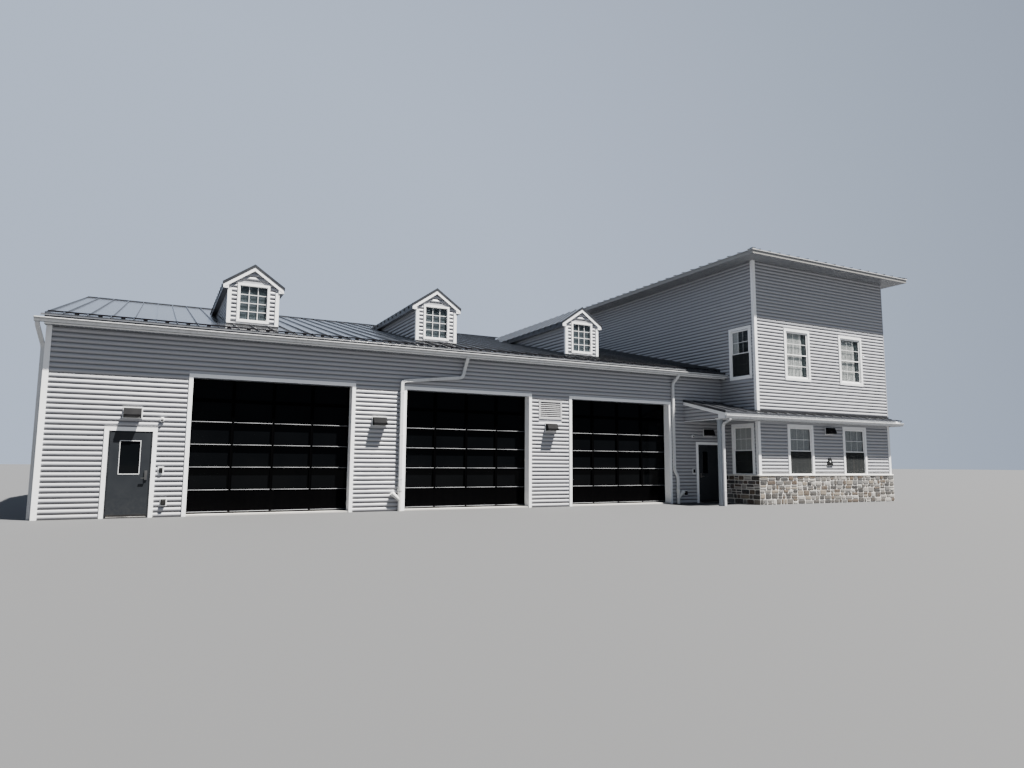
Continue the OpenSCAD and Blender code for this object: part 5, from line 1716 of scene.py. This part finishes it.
@dataclass
class Flashings:
    """Dark metal where the roofs meet the walls, round the dormers' feet and behind the gutters."""

    sheet: float = 0.004
    upstand: float = 0.06
    fall: float = 0.13
    wider: float = 0.06
    board_t: float = 0.026
    half: float = DORMER_HALF + 0.03
    cheek_xs: Span = (0.02, 0.026)
    cheek_start: float = DORMER_Y + 0.086
    cheek_stop: float = 0.25
    wall_h: float = 0.105
    out: float = 0.024
    pent_h: float = 0.05
    apron_ys: Span = (0.296, 0.233)
    apron_drops: Span = (0.062, 0.003)
    apron_left: float = -0.13

    @staticmethod
    def strip(mesh: Mesh, xs: Span, ys: Span, rise: float) -> None:
        """Lays a strip on the hall's roof between two x and two y, rise high."""
        corners = zip((*xs, *xs[::-1]), (ys[0], ys[0], ys[1], ys[1]))
        mesh.slab([(x, y, hall_top(y)) for x, y in corners], rise)

    def dormer(self, mesh: Mesh, x: float) -> None:
        """Apron at the foot of one dormer and the strips beside its cheeks.

        Args:
            mesh: Mesh of the flashings.
            x: Middle of the dormer.
        """
        half, face = self.half, DORMER_Y - self.board_t
        wide = half + self.wider
        self.strip(mesh, (x - wide, x + wide), (face - self.fall, face), self.sheet + 0.002)
        mesh.block((x - half + 0.002, face - self.sheet, hall_top(face)),
                   (x + half - 0.002, face - SKIN / 2, hall_top(face) + self.upstand))
        stop = (DORMER_BOX_Z - HALL_ROOF_Z) / PITCH - self.cheek_stop
        for side in (-1, 1):
            near, far = sorted(x + side * (DORMER_HALF + out) for out in self.cheek_xs)
            self.strip(mesh, (near, far), (self.cheek_start, stop), self.upstand)

    def build(self) -> None:
        """Makes the flashings of the dormers, the wing's walls and the eaves."""
        mesh, aprons = Mesh(), Mesh()
        for x in DORMER_XS:
            self.dormer(mesh, x)
        ridge = HALL_DEPTH / 2
        for ys in ((0.002, ridge), (ridge, HALL_DEPTH - 0.002)):
            self.strip(mesh, (HALL_LEN - self.out, HALL_LEN - SKIN), ys, self.wall_h)
        eave_z = HALL_ROOF_Z - PITCH * HALL_EAVE
        left, right = self.apron_left, HALL_LEN - 0.002
        for start, way in ((0.0, -1), (HALL_DEPTH, 1)):
            (a, low), (b, high) = sorted((start + way * y, eave_z - drop)
                                         for y, drop in zip(self.apron_ys, self.apron_drops))
            aprons.slab([(left, a, low), (right, a, low), (right, b, high), (left, b, high)], self.sheet)
        low = PENT_Z + PITCH * WING_FRONT
        high, outside = low + self.pent_h, WING_RIGHT + self.out
        mesh.block((HALL_LEN + 0.002, WING_FRONT - self.out, low), (outside, WING_FRONT - SKIN, high))
        mesh.block((WING_RIGHT + SKIN, WING_FRONT, low), (outside, HALL_DEPTH - 0.002, high))
        finish_piece(mesh.to_object("wall_flashings"), Slot.ROOF, finish=FLASHING)
        finish_piece(aprons.to_object("eave_aprons"), Slot.ROOF)


@dataclass
class HingedDoor:
    """Fittings of one steel leaf: glazing frame, screws, sweep and threshold."""

    name: str
    body: Body
    left: float
    glass: Span
    glass_z: Span = (1.105, 1.935)
    face: float = -0.012
    leaf_t: float = 0.045
    frame_w: float = 0.014
    frame_d: float = 0.006
    bury: float = 0.002
    frame_finish: Finish = PALE_PLASTIC
    screw_r: float = 0.004
    screw_h: float = 0.002
    screws: int = 5
    jamb: float = 0.05
    sweep_w: float = 0.89
    sweep_zs: Span = (0.053, 0.085)
    sill_front: Point = (-0.03, 0.001, 0.038)
    sill_back: Point = (0.12, 0.0402, 0.045)

    def ring(self, mesh: Mesh, near: float, far: float) -> None:
        """Four bars round the glass between two depths.

        Args:
            mesh: Mesh of the frame.
            near: Front of the bars.
            far: Back of the bars.
        """
        (a, b), (low, high), w = self.glass, self.glass_z, self.frame_w
        for x0, x1, z0, z1 in ((a - w, b + w, high, high + w), (a - w, b + w, low - w, low),
                               (a - w, a, low, high), (b, b + w, low, high)):
            mesh.block((x0, near, z0), (x1, far, z1), 0.002)

    def build(self) -> None:
        """Makes the moving fittings and the fixed threshold."""
        frame_mesh, screws, sweep, sill = Mesh(), Mesh(), Mesh(), Mesh()
        front, back = self.face - self.frame_d, self.face + self.leaf_t
        self.ring(frame_mesh, front, self.face + self.bury)
        self.ring(frame_mesh, back - self.bury, back + self.frame_d)
        (a, b), (low, high), w = self.glass, self.glass_z, self.frame_w / 2
        step = (high - low + 2 * w) / (self.screws - 1)
        screws.verts = [place(x, front, low - w + step * k)
                        for x in (a - w, b + w) for k in range(self.screws)]
        left, right = self.left + self.jamb, self.left + DOOR_W - self.jamb
        foot, top = self.sweep_zs
        sweep.block((left, self.face - 0.006, foot), (left + self.sweep_w, self.face + SKIN, top), 0.002)
        y, foot, top = self.sill_front
        sill.block((left, y, foot), (right, -SKIN, top), 0.004)
        y, foot, top = self.sill_back
        sill.block((left, 0.0, foot), (right, y, top), 0.001)
        finish_piece(frame_mesh.to_object(self.name + "_glazing_frame"), Slot.LEAF, self.body,
                     finish=self.frame_finish)
        tree = point_tree("screw_heads", {"Radius": self.screw_r, "Depth": self.screw_h}, math.pi / 2)
        grow_piece(tree, screws, self.name + "_screws", Slot.LOCK, self.body)
        finish_piece(sweep.to_object(self.name + "_sweep"), Slot.LEAF, self.body, finish=RUBBER)
        finish_piece(sill.to_object(self.name + "_threshold"), Slot.LOCK)


@dataclass
class RainGoods:
    """Moulded gutters with their hangers, and fluted downspouts with straps."""

    width: float = 0.1
    depth: float = 0.075
    flute: float = 0.004
    corner: float = 0.008
    gutter_h: float = 0.108
    gutter_t: float = 0.004
    gutter_rim: float = 0.016
    pent_w: float = 0.106
    pent_y: float = -2.155
    pent_ends: Span = (20.175, 30.005)
    hall_w: float = 0.175
    hall_z: float = 4.775
    hall_ends: Span = (-0.25, 22.122)
    pipes: tuple[tuple[Point, ...], ...] = (
        ((-0.18, -0.2731, 4.78), (-0.18, -0.2731, 4.715), (-0.075, 0.1625, 4.24), (-0.075, 0.1625, SKIN)),
        ((11.18, -0.2731, 4.78), (11.18, -0.2731, 4.715), (11.18, -0.07, 4.46), (11.1, -0.07, 4.13),
         (9.109, -0.07, 3.9), (9.109, -0.07, 0.66)),
        ((19.77, -0.2731, 4.78), (19.77, -0.2731, 4.715), (19.66, -0.07, 4.46), (19.66, -0.07, 1.23),
         (19.82, -0.07, 0.98), (19.82, -0.07, 0.46)),
    )
    porch_pipe: tuple[Point, ...] = (
        (20.375, -2.1931, 3.07), (20.375, -2.1931, 2.99), (20.375, -1.8595, 2.86), (20.375, -1.8595, SKIN),
    )
    bends: Span = (0.11, 0.12)
    strap_h: float = 0.03
    straps: tuple[tuple[Span, Span, tuple[float, ...]], ...] = (
        ((9.051, 9.167), (-0.1095, -SKIN), (0.94, 2.24, 3.54)),
        ((19.602, 19.718), (-0.1095, -SKIN), (1.6, 2.9, 4.2)),
        ((19.762, 19.878), (-0.1095, -SKIN), (0.7,)),
        ((-0.127, -SKIN), (0.123, 0.202), (0.3, 1.6, 2.9, 4.2)),
        ((20.321, 20.429), (-1.901, -1.811), (0.5, 1.5, 2.5)),
    )
    hanger: Span = (0.025, 0.006)
    hanger_step: float = 0.762
    hangers: tuple[tuple[int, Point, float], ...] = (
        (30, (-0.1, -HALL_EAVE, 4.868), -0.169), (30, (-0.1, HALL_DEPTH + HALL_EAVE, 4.868), 0.169),
        (13, (20.35, -2.155, 3.153), -0.1),
    )

    def section(self) -> list[Span]:
        """Outline of a fluted pipe, counter-clockwise.

        Returns:
            Its points, as side and up.
        """
        w, d, c, f = self.width / 2, self.depth / 2, self.corner, self.flute
        long_side = [(-w + c, 0), (-w * 0.55, 0), (-w * 0.45, f), (-w * 0.25, f), (-w * 0.15, 0),
                     (w * 0.15, 0), (w * 0.25, f), (w * 0.45, f), (w * 0.55, 0), (w - c, 0)]
        short_side = [(-d + c, 0), (-d * 0.3, 0), (-d * 0.15, f), (d * 0.15, f), (d * 0.3, 0), (d - c, 0)]
        ring = [(u, -d + v) for u, v in long_side]
        ring += [(w - v, u) for u, v in short_side]
        ring += [(-u, d - v) for u, v in long_side]
        ring += [(-w + v, -u) for u, v in short_side]
        return ring

    def gutter(self, mesh: Mesh, start: Point, end: Point, w: float) -> None:
        """Moulded gutter with its end caps, its back on the left of the way from start to end.

        Args:
            mesh: Mesh that takes it.
            start: One end of its back's lower edge.
            end: The other end.
            w: Its width.
        """
        h, t, rim = self.gutter_h, self.gutter_t, w - self.gutter_rim
        foot, swell, belly, lip = w * 0.62, w * 0.08, h * 0.42, h * 0.2
        hollow, throat = foot + (w - foot) * 0.55, foot + swell * 0.35
        outer = [(0.0, h), (0.0, 0.0), (foot, 0.0), (throat, belly * 0.45), (foot + swell, belly),
                 (hollow, belly + h * 0.2), (w, h - lip), (w, h), (rim, h), (rim, h - t)]
        inner = [(w - t, h - t), (w - t, h - lip), (hollow - t, belly + h * 0.2 + 0.002),
                 (foot + swell - t, belly), (throat - t, belly * 0.45), (foot - t, t), (t, t), (t, h)]
        mesh.tube([start, end], outer + inner)
        cap = [(0.0, h), (0.0, 0.0), (foot, 0.0), (foot + swell, belly), (w, h - lip), (w, h)]
        step = (Vector(end) - Vector(start)).normalized() * t
        for point in (Vector(start), Vector(end) - step):
            mesh.tube([tuple(point), tuple(point + step)], cap)

    def build(self) -> None:
        """Makes the gutters, the pipes, their straps and the hangers."""
        pipes, porch, gutters, straps, hangers = (Mesh() for _ in range(5))
        up, (wide, wider) = Vector((0, 1, 0)), self.bends
        for path in self.pipes:
            pipes.tube(soften(path, wide), self.section(), up)
        (a, b), y, z = self.pent_ends, self.pent_y, PENT_SOFFIT + 0.01
        self.gutter(porch, (a, y, z), (b, y, z), self.pent_w)
        (a, b), y, z = self.hall_ends, HALL_DEPTH + HALL_EAVE, self.hall_z
        self.gutter(gutters, (a, -HALL_EAVE, z), (b, -HALL_EAVE, z), self.hall_w)
        self.gutter(gutters, (b, y, z), (a, y, z), self.hall_w)
        porch.tube(soften(self.porch_pipe, wider, 8), self.section(), up)
        for (left, right), (near, far), zs in self.straps:
            for z in zs:
                straps.block((left, near, z), (right, far, z + self.strap_h), 0.001)
        w, t = self.hanger
        for count, (start, y, z), reach in self.hangers:
            for x in (start + self.hanger_step * k for k in range(count)):
                hangers.block((x, y, z), (x + w, y + reach, z + t))
        finish_piece(pipes.to_object("fluted_downspouts"), Slot.GUTTER, replaces=["hall_downspouts"])
        finish_piece(porch.to_object("pent_gutter_and_downspout"), Slot.GUTTER, replaces=["pent_gutter"])
        finish_piece(gutters.to_object("hall_moulded_gutters"), Slot.GUTTER, replaces=["hall_gutters"])
        finish_piece(straps.to_object("downspout_straps"), Slot.GUTTER)
        finish_piece(hangers.to_object("gutter_hangers"), Slot.GUTTER)


Part = tuple[float, float, float, float, float, float]


@dataclass
class WallFittings:
    """Lights, readers, outlets, watching domes and the alarm piece.

    A part is a block: half width, front, back, foot and top from the fitting's place, and chamfer.
    """

    lights: tuple[Point, ...] = (
        (1.97, 0.0, 2.54), (8.439, 0.0, 2.54), (14.383, 0.0, 2.54), (21.375, 0.0, 2.54),
        (25.95, WING_FRONT, 2.66),
    )
    light_mount: Part = (0.226, -0.03, -SKIN, -0.03, 0.262, 0.005)
    light_lens: Part = (0.165, -0.19, -0.04, -0.006, 0.002, 0.002)
    light_trim: tuple[Part, ...] = (
        (0.15, -0.2135, -0.209, 0.012, 0.046, 0.002), (0.204, -0.042, -0.03, -0.01, 0.238, 0.004),
        (0.205, -0.216, -0.2, 0.054, 0.066, 0.003), (0.205, -0.216, -0.2, -0.004, 0.006, 0.003),
    )
    light_pins: tuple[Point, ...] = ((-0.13, -0.2, 0.07), (0.13, -0.2, 0.07))
    light_pin: Span = (0.02, 0.009)
    readers: tuple[Point, ...] = ((2.695, 0.0, 1.19), (20.65, 0.0, 1.19))
    reader_mount: Part = (0.07, -0.018, -SKIN, -0.115, 0.095, 0.004)
    reader_case: Part = (0.042, -0.045, -0.017, -0.06, 0.07, 0.006)
    key: Part = (0.007, -0.048, -0.044, -0.007, 0.007, 0.0)
    key_columns: tuple[float, ...] = (-0.02, 0.0, 0.02)
    key_rows: tuple[float, ...] = (-0.045, -0.025, -0.005, 0.015)
    outlets: tuple[Point, ...] = ((2.795, 0.0, 0.385), (20.215, 0.0, 0.385))
    outlet_mount: Part = (0.08, -0.018, -SKIN, -0.1, 0.1, 0.004)
    outlet_case: tuple[Part, ...] = (
        (0.06, -0.035, -0.017, -0.075, 0.075, 0.004), (0.054, -0.085, -0.036, -0.068, 0.068, 0.014),
    )
    outlet_hinge: Point = (0.0, -0.04, 0.07)
    outlet_pin: Span = (0.045, 0.006)
    domes: tuple[Point, ...] = ((2.655, -0.001, 2.5), (20.63, -0.001, 2.5))
    dome_ring: tuple[Span, ...] = ((0.0, 0.062), (0.03, 0.062), (0.05, 0.056), (0.062, 0.044))
    dome_r: float = 0.034
    alarm_x: float = 25.92
    alarm_widths: Span = (0.165, 0.055)
    alarm_zs: Point = (1.44, 1.5, 1.73)
    alarm_sill: Part = (0.09, -0.042, -0.033, 0.02, 0.06, 0.003)
    alarm_lens: tuple[Span, ...] = ((0.0, 0.032), (0.01, 0.03), (0.016, 0.02))

    @staticmethod
    def add(mesh: Mesh, at: Point, *parts: Part) -> None:
        """Adds parts of a fitting.

        Args:
            mesh: Mesh that takes them.
            at: The fitting's place.
            *parts: The parts.
        """
        x, y, z = at
        for half, near, far, low, high, chamfer in parts:
            mesh.block((x - half, y + near, z + low), (x + half, y + far, z + high), chamfer)

    @staticmethod
    def pin(mesh: Mesh, at: Point, off: Point, size: Span) -> None:
        """Adds a level round pin, off from a fitting's place, by its half length and radius."""
        x, y, z = (p + q for p, q in zip(at, off))
        mesh.round_bar([(x - size[0], y, z), (x + size[0], y, z)], size[1], 10)

    def dome(self, plate: Mesh, domes: Mesh, at: Point) -> None:
        """One watching dome: a pale ring on the wall round a smoked bubble that looks down.

        Args:
            plate: Mesh of the pale rings.
            domes: Mesh of the bubbles.
            at: Its place on the wall.
        """
        out, tilt, r = Vector((0, -1, 0)), Vector((0, -1, -0.75)).normalized(), self.dome_r
        plate.turned(at, out, self.dome_ring, 24)
        bubble = [(r * math.sin(k * math.pi / 12), r * math.cos(k * math.pi / 12)) for k in range(6)]
        domes.turned((at[0], -0.05, at[2] - 0.012), tilt, [(-0.02, r)] + bubble, 20)

    def alarm(self, plate: Mesh, case: Mesh) -> None:
        """The plain dark alarm piece on the wing's front, with its lens.

        Args:
            plate: Mesh of the pale parts.
            case: Mesh of the cases.
        """
        x, (wide, narrow), (low, hip, top) = self.alarm_x, self.alarm_widths, self.alarm_zs
        case.prism([(x - wide, low), (x + wide, low), (x + wide, hip), (x + narrow, top), (x - narrow, top),
                    (x - wide, hip)], WING_FRONT - 0.034, lambda z: WING_FRONT - SKIN)
        self.add(case, (x, WING_FRONT, low), self.alarm_sill)
        plate.turned((x, WING_FRONT - 0.033, 1.575), Vector((0, -1, 0)), self.alarm_lens)

    def build(self) -> None:
        """Makes every fitting."""
        glow, trim, plate, case, domes = (Mesh() for _ in range(5))
        for at in self.lights:
            self.add(plate, at, self.light_mount)
            self.add(glow, at, self.light_lens)
            self.add(trim, at, *self.light_trim)
            for off in self.light_pins:
                self.pin(trim, at, off, self.light_pin)
        for at in self.readers:
            self.add(plate, at, self.reader_mount)
            self.add(case, at, self.reader_case)
            for up in self.key_rows:
                for side in self.key_columns:
                    self.add(case, (at[0] + side, at[1], at[2] + up), self.key)
        for at in self.outlets:
            self.add(plate, at, self.outlet_mount)
            self.add(case, at, *self.outlet_case)
            self.pin(case, at, self.outlet_hinge, self.outlet_pin)
        for at in self.domes:
            self.dome(plate, domes, at)
        self.alarm(plate, case)
        finish_piece(glow.to_object("light_lenses"), Slot.LIGHT, finish=LENS)
        finish_piece(trim.to_object("light_trim"), Slot.LIGHT)
        finish_piece(plate.to_object("fitting_plates"), Slot.BOX, finish=PALE_PLASTIC)
        finish_piece(case.to_object("fitting_cases"), Slot.BOX, replaces=["wall_boxes"])
        finish_piece(domes.to_object("sensor_domes", smooth=True), Slot.BOX, finish=SMOKED)


@dataclass
class PorchPost:
    """Wrapped post under the porch's corner with its foot and head blocks."""

    left: float = 20.27
    side: float = 0.14
    block_h: float = 0.09
    swell: float = 0.012

    def build(self) -> None:
        """Makes the post in place of the plain one."""
        mesh = Mesh()
        front, right, back = WING_FRONT, self.left + self.side, WING_FRONT + self.side
        top, s = PENT_SOFFIT - SKIN, self.swell
        mesh.block((self.left, front, SKIN), (right, back, top), 0.005)
        for low, high in ((SKIN, self.block_h), (top - self.block_h, top)):
            mesh.block((self.left - s, front + SKIN, low), (right - SKIN, back + s, high), 0.004)
        finish_piece(mesh.to_object("wrapped_post"), Slot.TRIM, finish=POST_WRAP_SHADE, replaces=["porch_post"])


@dataclass
class Soffits:
    """Ribs of the soffit panels under every eave."""

    step: float = 0.1
    width: float = 0.012
    depth: float = 0.004
    hall_reach: float = 0.23
    wing_reach: float = 0.69
    pent_reach: float = 0.335
    wall_gap: float = 0.002
    beam_gap: float = 0.03

    def rows(self, start: float, stop: float) -> Iterable[float]:
        """Even places between two ends."""
        return (start + self.step * (k + 0.5) for k in range(int((stop - start) / self.step)))

    def strips(self) -> Iterable[tuple[Point, Point]]:
        """Start and end of each rib.

        Returns:
            The ribs under the hall's eaves, the wing's and the pent roof's.
        """
        eave, pent, gap, beam = self.wing_reach, self.pent_reach, self.wall_gap, self.beam_gap
        hall, wing, low = HALL_SOFFIT, WING_SOFFIT, PENT_SOFFIT
        for x in self.rows(0.02, HALL_LEN - 0.02):
            yield (x, -self.hall_reach, hall), (x, -gap, hall)
            yield (x, HALL_DEPTH + gap, hall), (x, HALL_DEPTH + self.hall_reach, hall)
        for x in self.rows(HALL_LEN, WING_RIGHT):
            yield (x, WING_FRONT - eave, wing), (x, WING_FRONT - gap, wing)
            yield (x, HALL_DEPTH + gap, wing), (x, HALL_DEPTH + eave, wing)
        for y in self.rows(WING_FRONT - eave, HALL_DEPTH + eave):
            yield (HALL_LEN - eave, y, wing), (HALL_LEN - gap, y, wing)
            yield (WING_RIGHT + gap, y, wing), (WING_RIGHT + eave, y, wing)
        for x in self.rows(PORCH_X, WING_RIGHT):
            yield (x, WING_FRONT - pent, low), (x, WING_FRONT - beam, low)
        for y in self.rows(WING_FRONT, HALL_DEPTH):
            yield (WING_RIGHT + beam, y, low), (WING_RIGHT + pent, y, low)

    def build(self) -> None:
        """Sweeps the ribs under the soffits."""
        guide = Mesh()
        for a, b in self.strips():
            guide.edge(place(*a), place(*b))
        sizes = {"Width": self.width, "Depth": self.depth}
        corners = ((0.0, 0.0), ("Width", 0.0), ("Width", "Depth"), (0.0, "Depth"))
        grow_piece(sweep_tree("soffit_ribs", sizes, corners), guide, "soffit_ribs", Slot.TRIM)


def dress_frame() -> None:
    """Gives each node of the frame the procedural material of its slot."""
    own = {"stone_base": MORTAR, "wing_ceiling": EAVE_SHADED_GREY, "pent_roof": PENT_SHEET}
    slots = {entry["node"]: entry["material_slot"] for entry in frame["record"]["subparts"]}
    for name, node in frame["nodes"].items():
        node.data.materials.clear()
        node.data.materials.append(material(own.get(name, Slot(slots[name]))))


@dataclass
class Studio:
    """Camera at the photograph's view, pale floor and soft light."""

    eye: Point = (-12.6247, -29.9423, 1.4015)
    yaw: float = 27.4377
    pitch: float = 6.624
    roll: float = 0.3469
    lens: float = 24.34
    sensor: float = 36.0
    view_end: float = 500.0
    sun_travel: Point = (-0.95, 1.0, -3.2)
    sun_power: float = 23.5
    sun_spread: float = 1.0
    sun_color: Color = (1.0, 0.97, 0.92)
    sky_power: Span = (0.37, 0.86)
    sky_rise: Span = (0.0, 0.85)
    sky_color: Color = (0.66, 0.78, 1.0)
    floor_color: Color = (0.06, 0.061, 0.063)
    floor_reach: float = 400.0
    floor_z: float = -0.002

    def camera(self) -> None:
        """Sets the camera."""
        yaw, pitch, roll = (math.radians(a) for a in (self.yaw, self.pitch, self.roll))
        ahead = Vector((math.sin(yaw) * math.cos(pitch), math.cos(yaw) * math.cos(pitch), math.sin(pitch)))
        level = Vector((math.cos(yaw), -math.sin(yaw), 0))
        up = level.cross(ahead)
        right = math.cos(roll) * level + math.sin(roll) * up
        above = -math.sin(roll) * level + math.cos(roll) * up
        data = bpy.data.cameras.new("camera")
        data.lens = self.lens
        data.sensor_width = self.sensor
        data.clip_end = self.view_end
        eye = link("camera", data)
        turn = Matrix((right, above, -ahead)).transposed().to_4x4()
        eye.matrix_world = Matrix.Translation(Vector(self.eye)) @ turn
        bpy.context.scene.camera = eye

    def floor(self) -> None:
        """Lays a plain pale floor."""
        data = bpy.data.meshes.new("floor")
        corners = [(x * self.floor_reach, y * self.floor_reach, self.floor_z)
                   for x, y in ((-1, -1), (1, -1), (1, 1), (-1, 1))]
        data.from_pydata(corners, [], [(0, 1, 2, 3)])
        floor = link("floor", data)
        tree = ShaderTree("pale_floor")
        data.materials.append(tree.surface({"Base Color": (*self.floor_color, 1.0), "Roughness": 0.9}))

    def sun(self) -> None:
        """Sets a broad sun."""
        data = bpy.data.lights.new("key_light", "SUN")
        data.energy = self.sun_power
        data.angle = math.radians(self.sun_spread)
        data.color = self.sun_color
        key = link("key_light", data)
        key.rotation_euler = Vector(self.sun_travel).to_track_quat("-Z", "Y").to_euler()

    def sky(self) -> None:
        """Sets a soft sky that is brighter behind the building."""
        world = bpy.data.worlds.new("studio_sky")
        world.use_nodes = True
        tree = world.node_tree
        back = tree.nodes["Background"]
        back.inputs[0].default_value = (*self.sky_color, 1.0)
        ways = tree.nodes.new("ShaderNodeSeparateXYZ")
        tree.links.new(tree.nodes.new("ShaderNodeTexCoord").outputs["Generated"], ways.inputs[0])
        power = tree.nodes.new("ShaderNodeMapRange")
        for socket, value in zip(power.inputs[1:5], (*self.sky_rise, *self.sky_power)):
            socket.default_value = value
        tree.links.new(ways.outputs[1], power.inputs[0])
        tree.links.new(power.outputs[0], back.inputs[1])
        bpy.context.scene.world = world

    def build(self) -> None:
        """Sets camera, floor and light."""
        for step in (self.camera, self.floor, self.sun, self.sky):
            step()


def main() -> None:
    """Builds every sub-assembly in order."""
    logging.basicConfig(level=logging.INFO, format="%(name)s: %(message)s")
    Studio().build()
    dress_frame()
    side_door = HingedDoor("side_door", Body.SIDE_DOOR, DOOR_XS[0], (1.743, 2.193))
    entrance = HingedDoor("entrance", Body.ENTRANCE_DOOR, DOOR_XS[1], (21.092, 21.342), frame_finish=FLASHING)
    assemblies: tuple[Assembly, ...] = (
        Cladding(), StoneWork(), BayDoors(), side_door, entrance, Windows(), DormerWindows(), Dormers(),
        SnowGuard(), PorchPost(), Flashings(), RainGoods(), WallFittings(), Soffits(),
    )
    for assembly in assemblies:
        assembly.build()


if __name__ == "__main__":
    main()
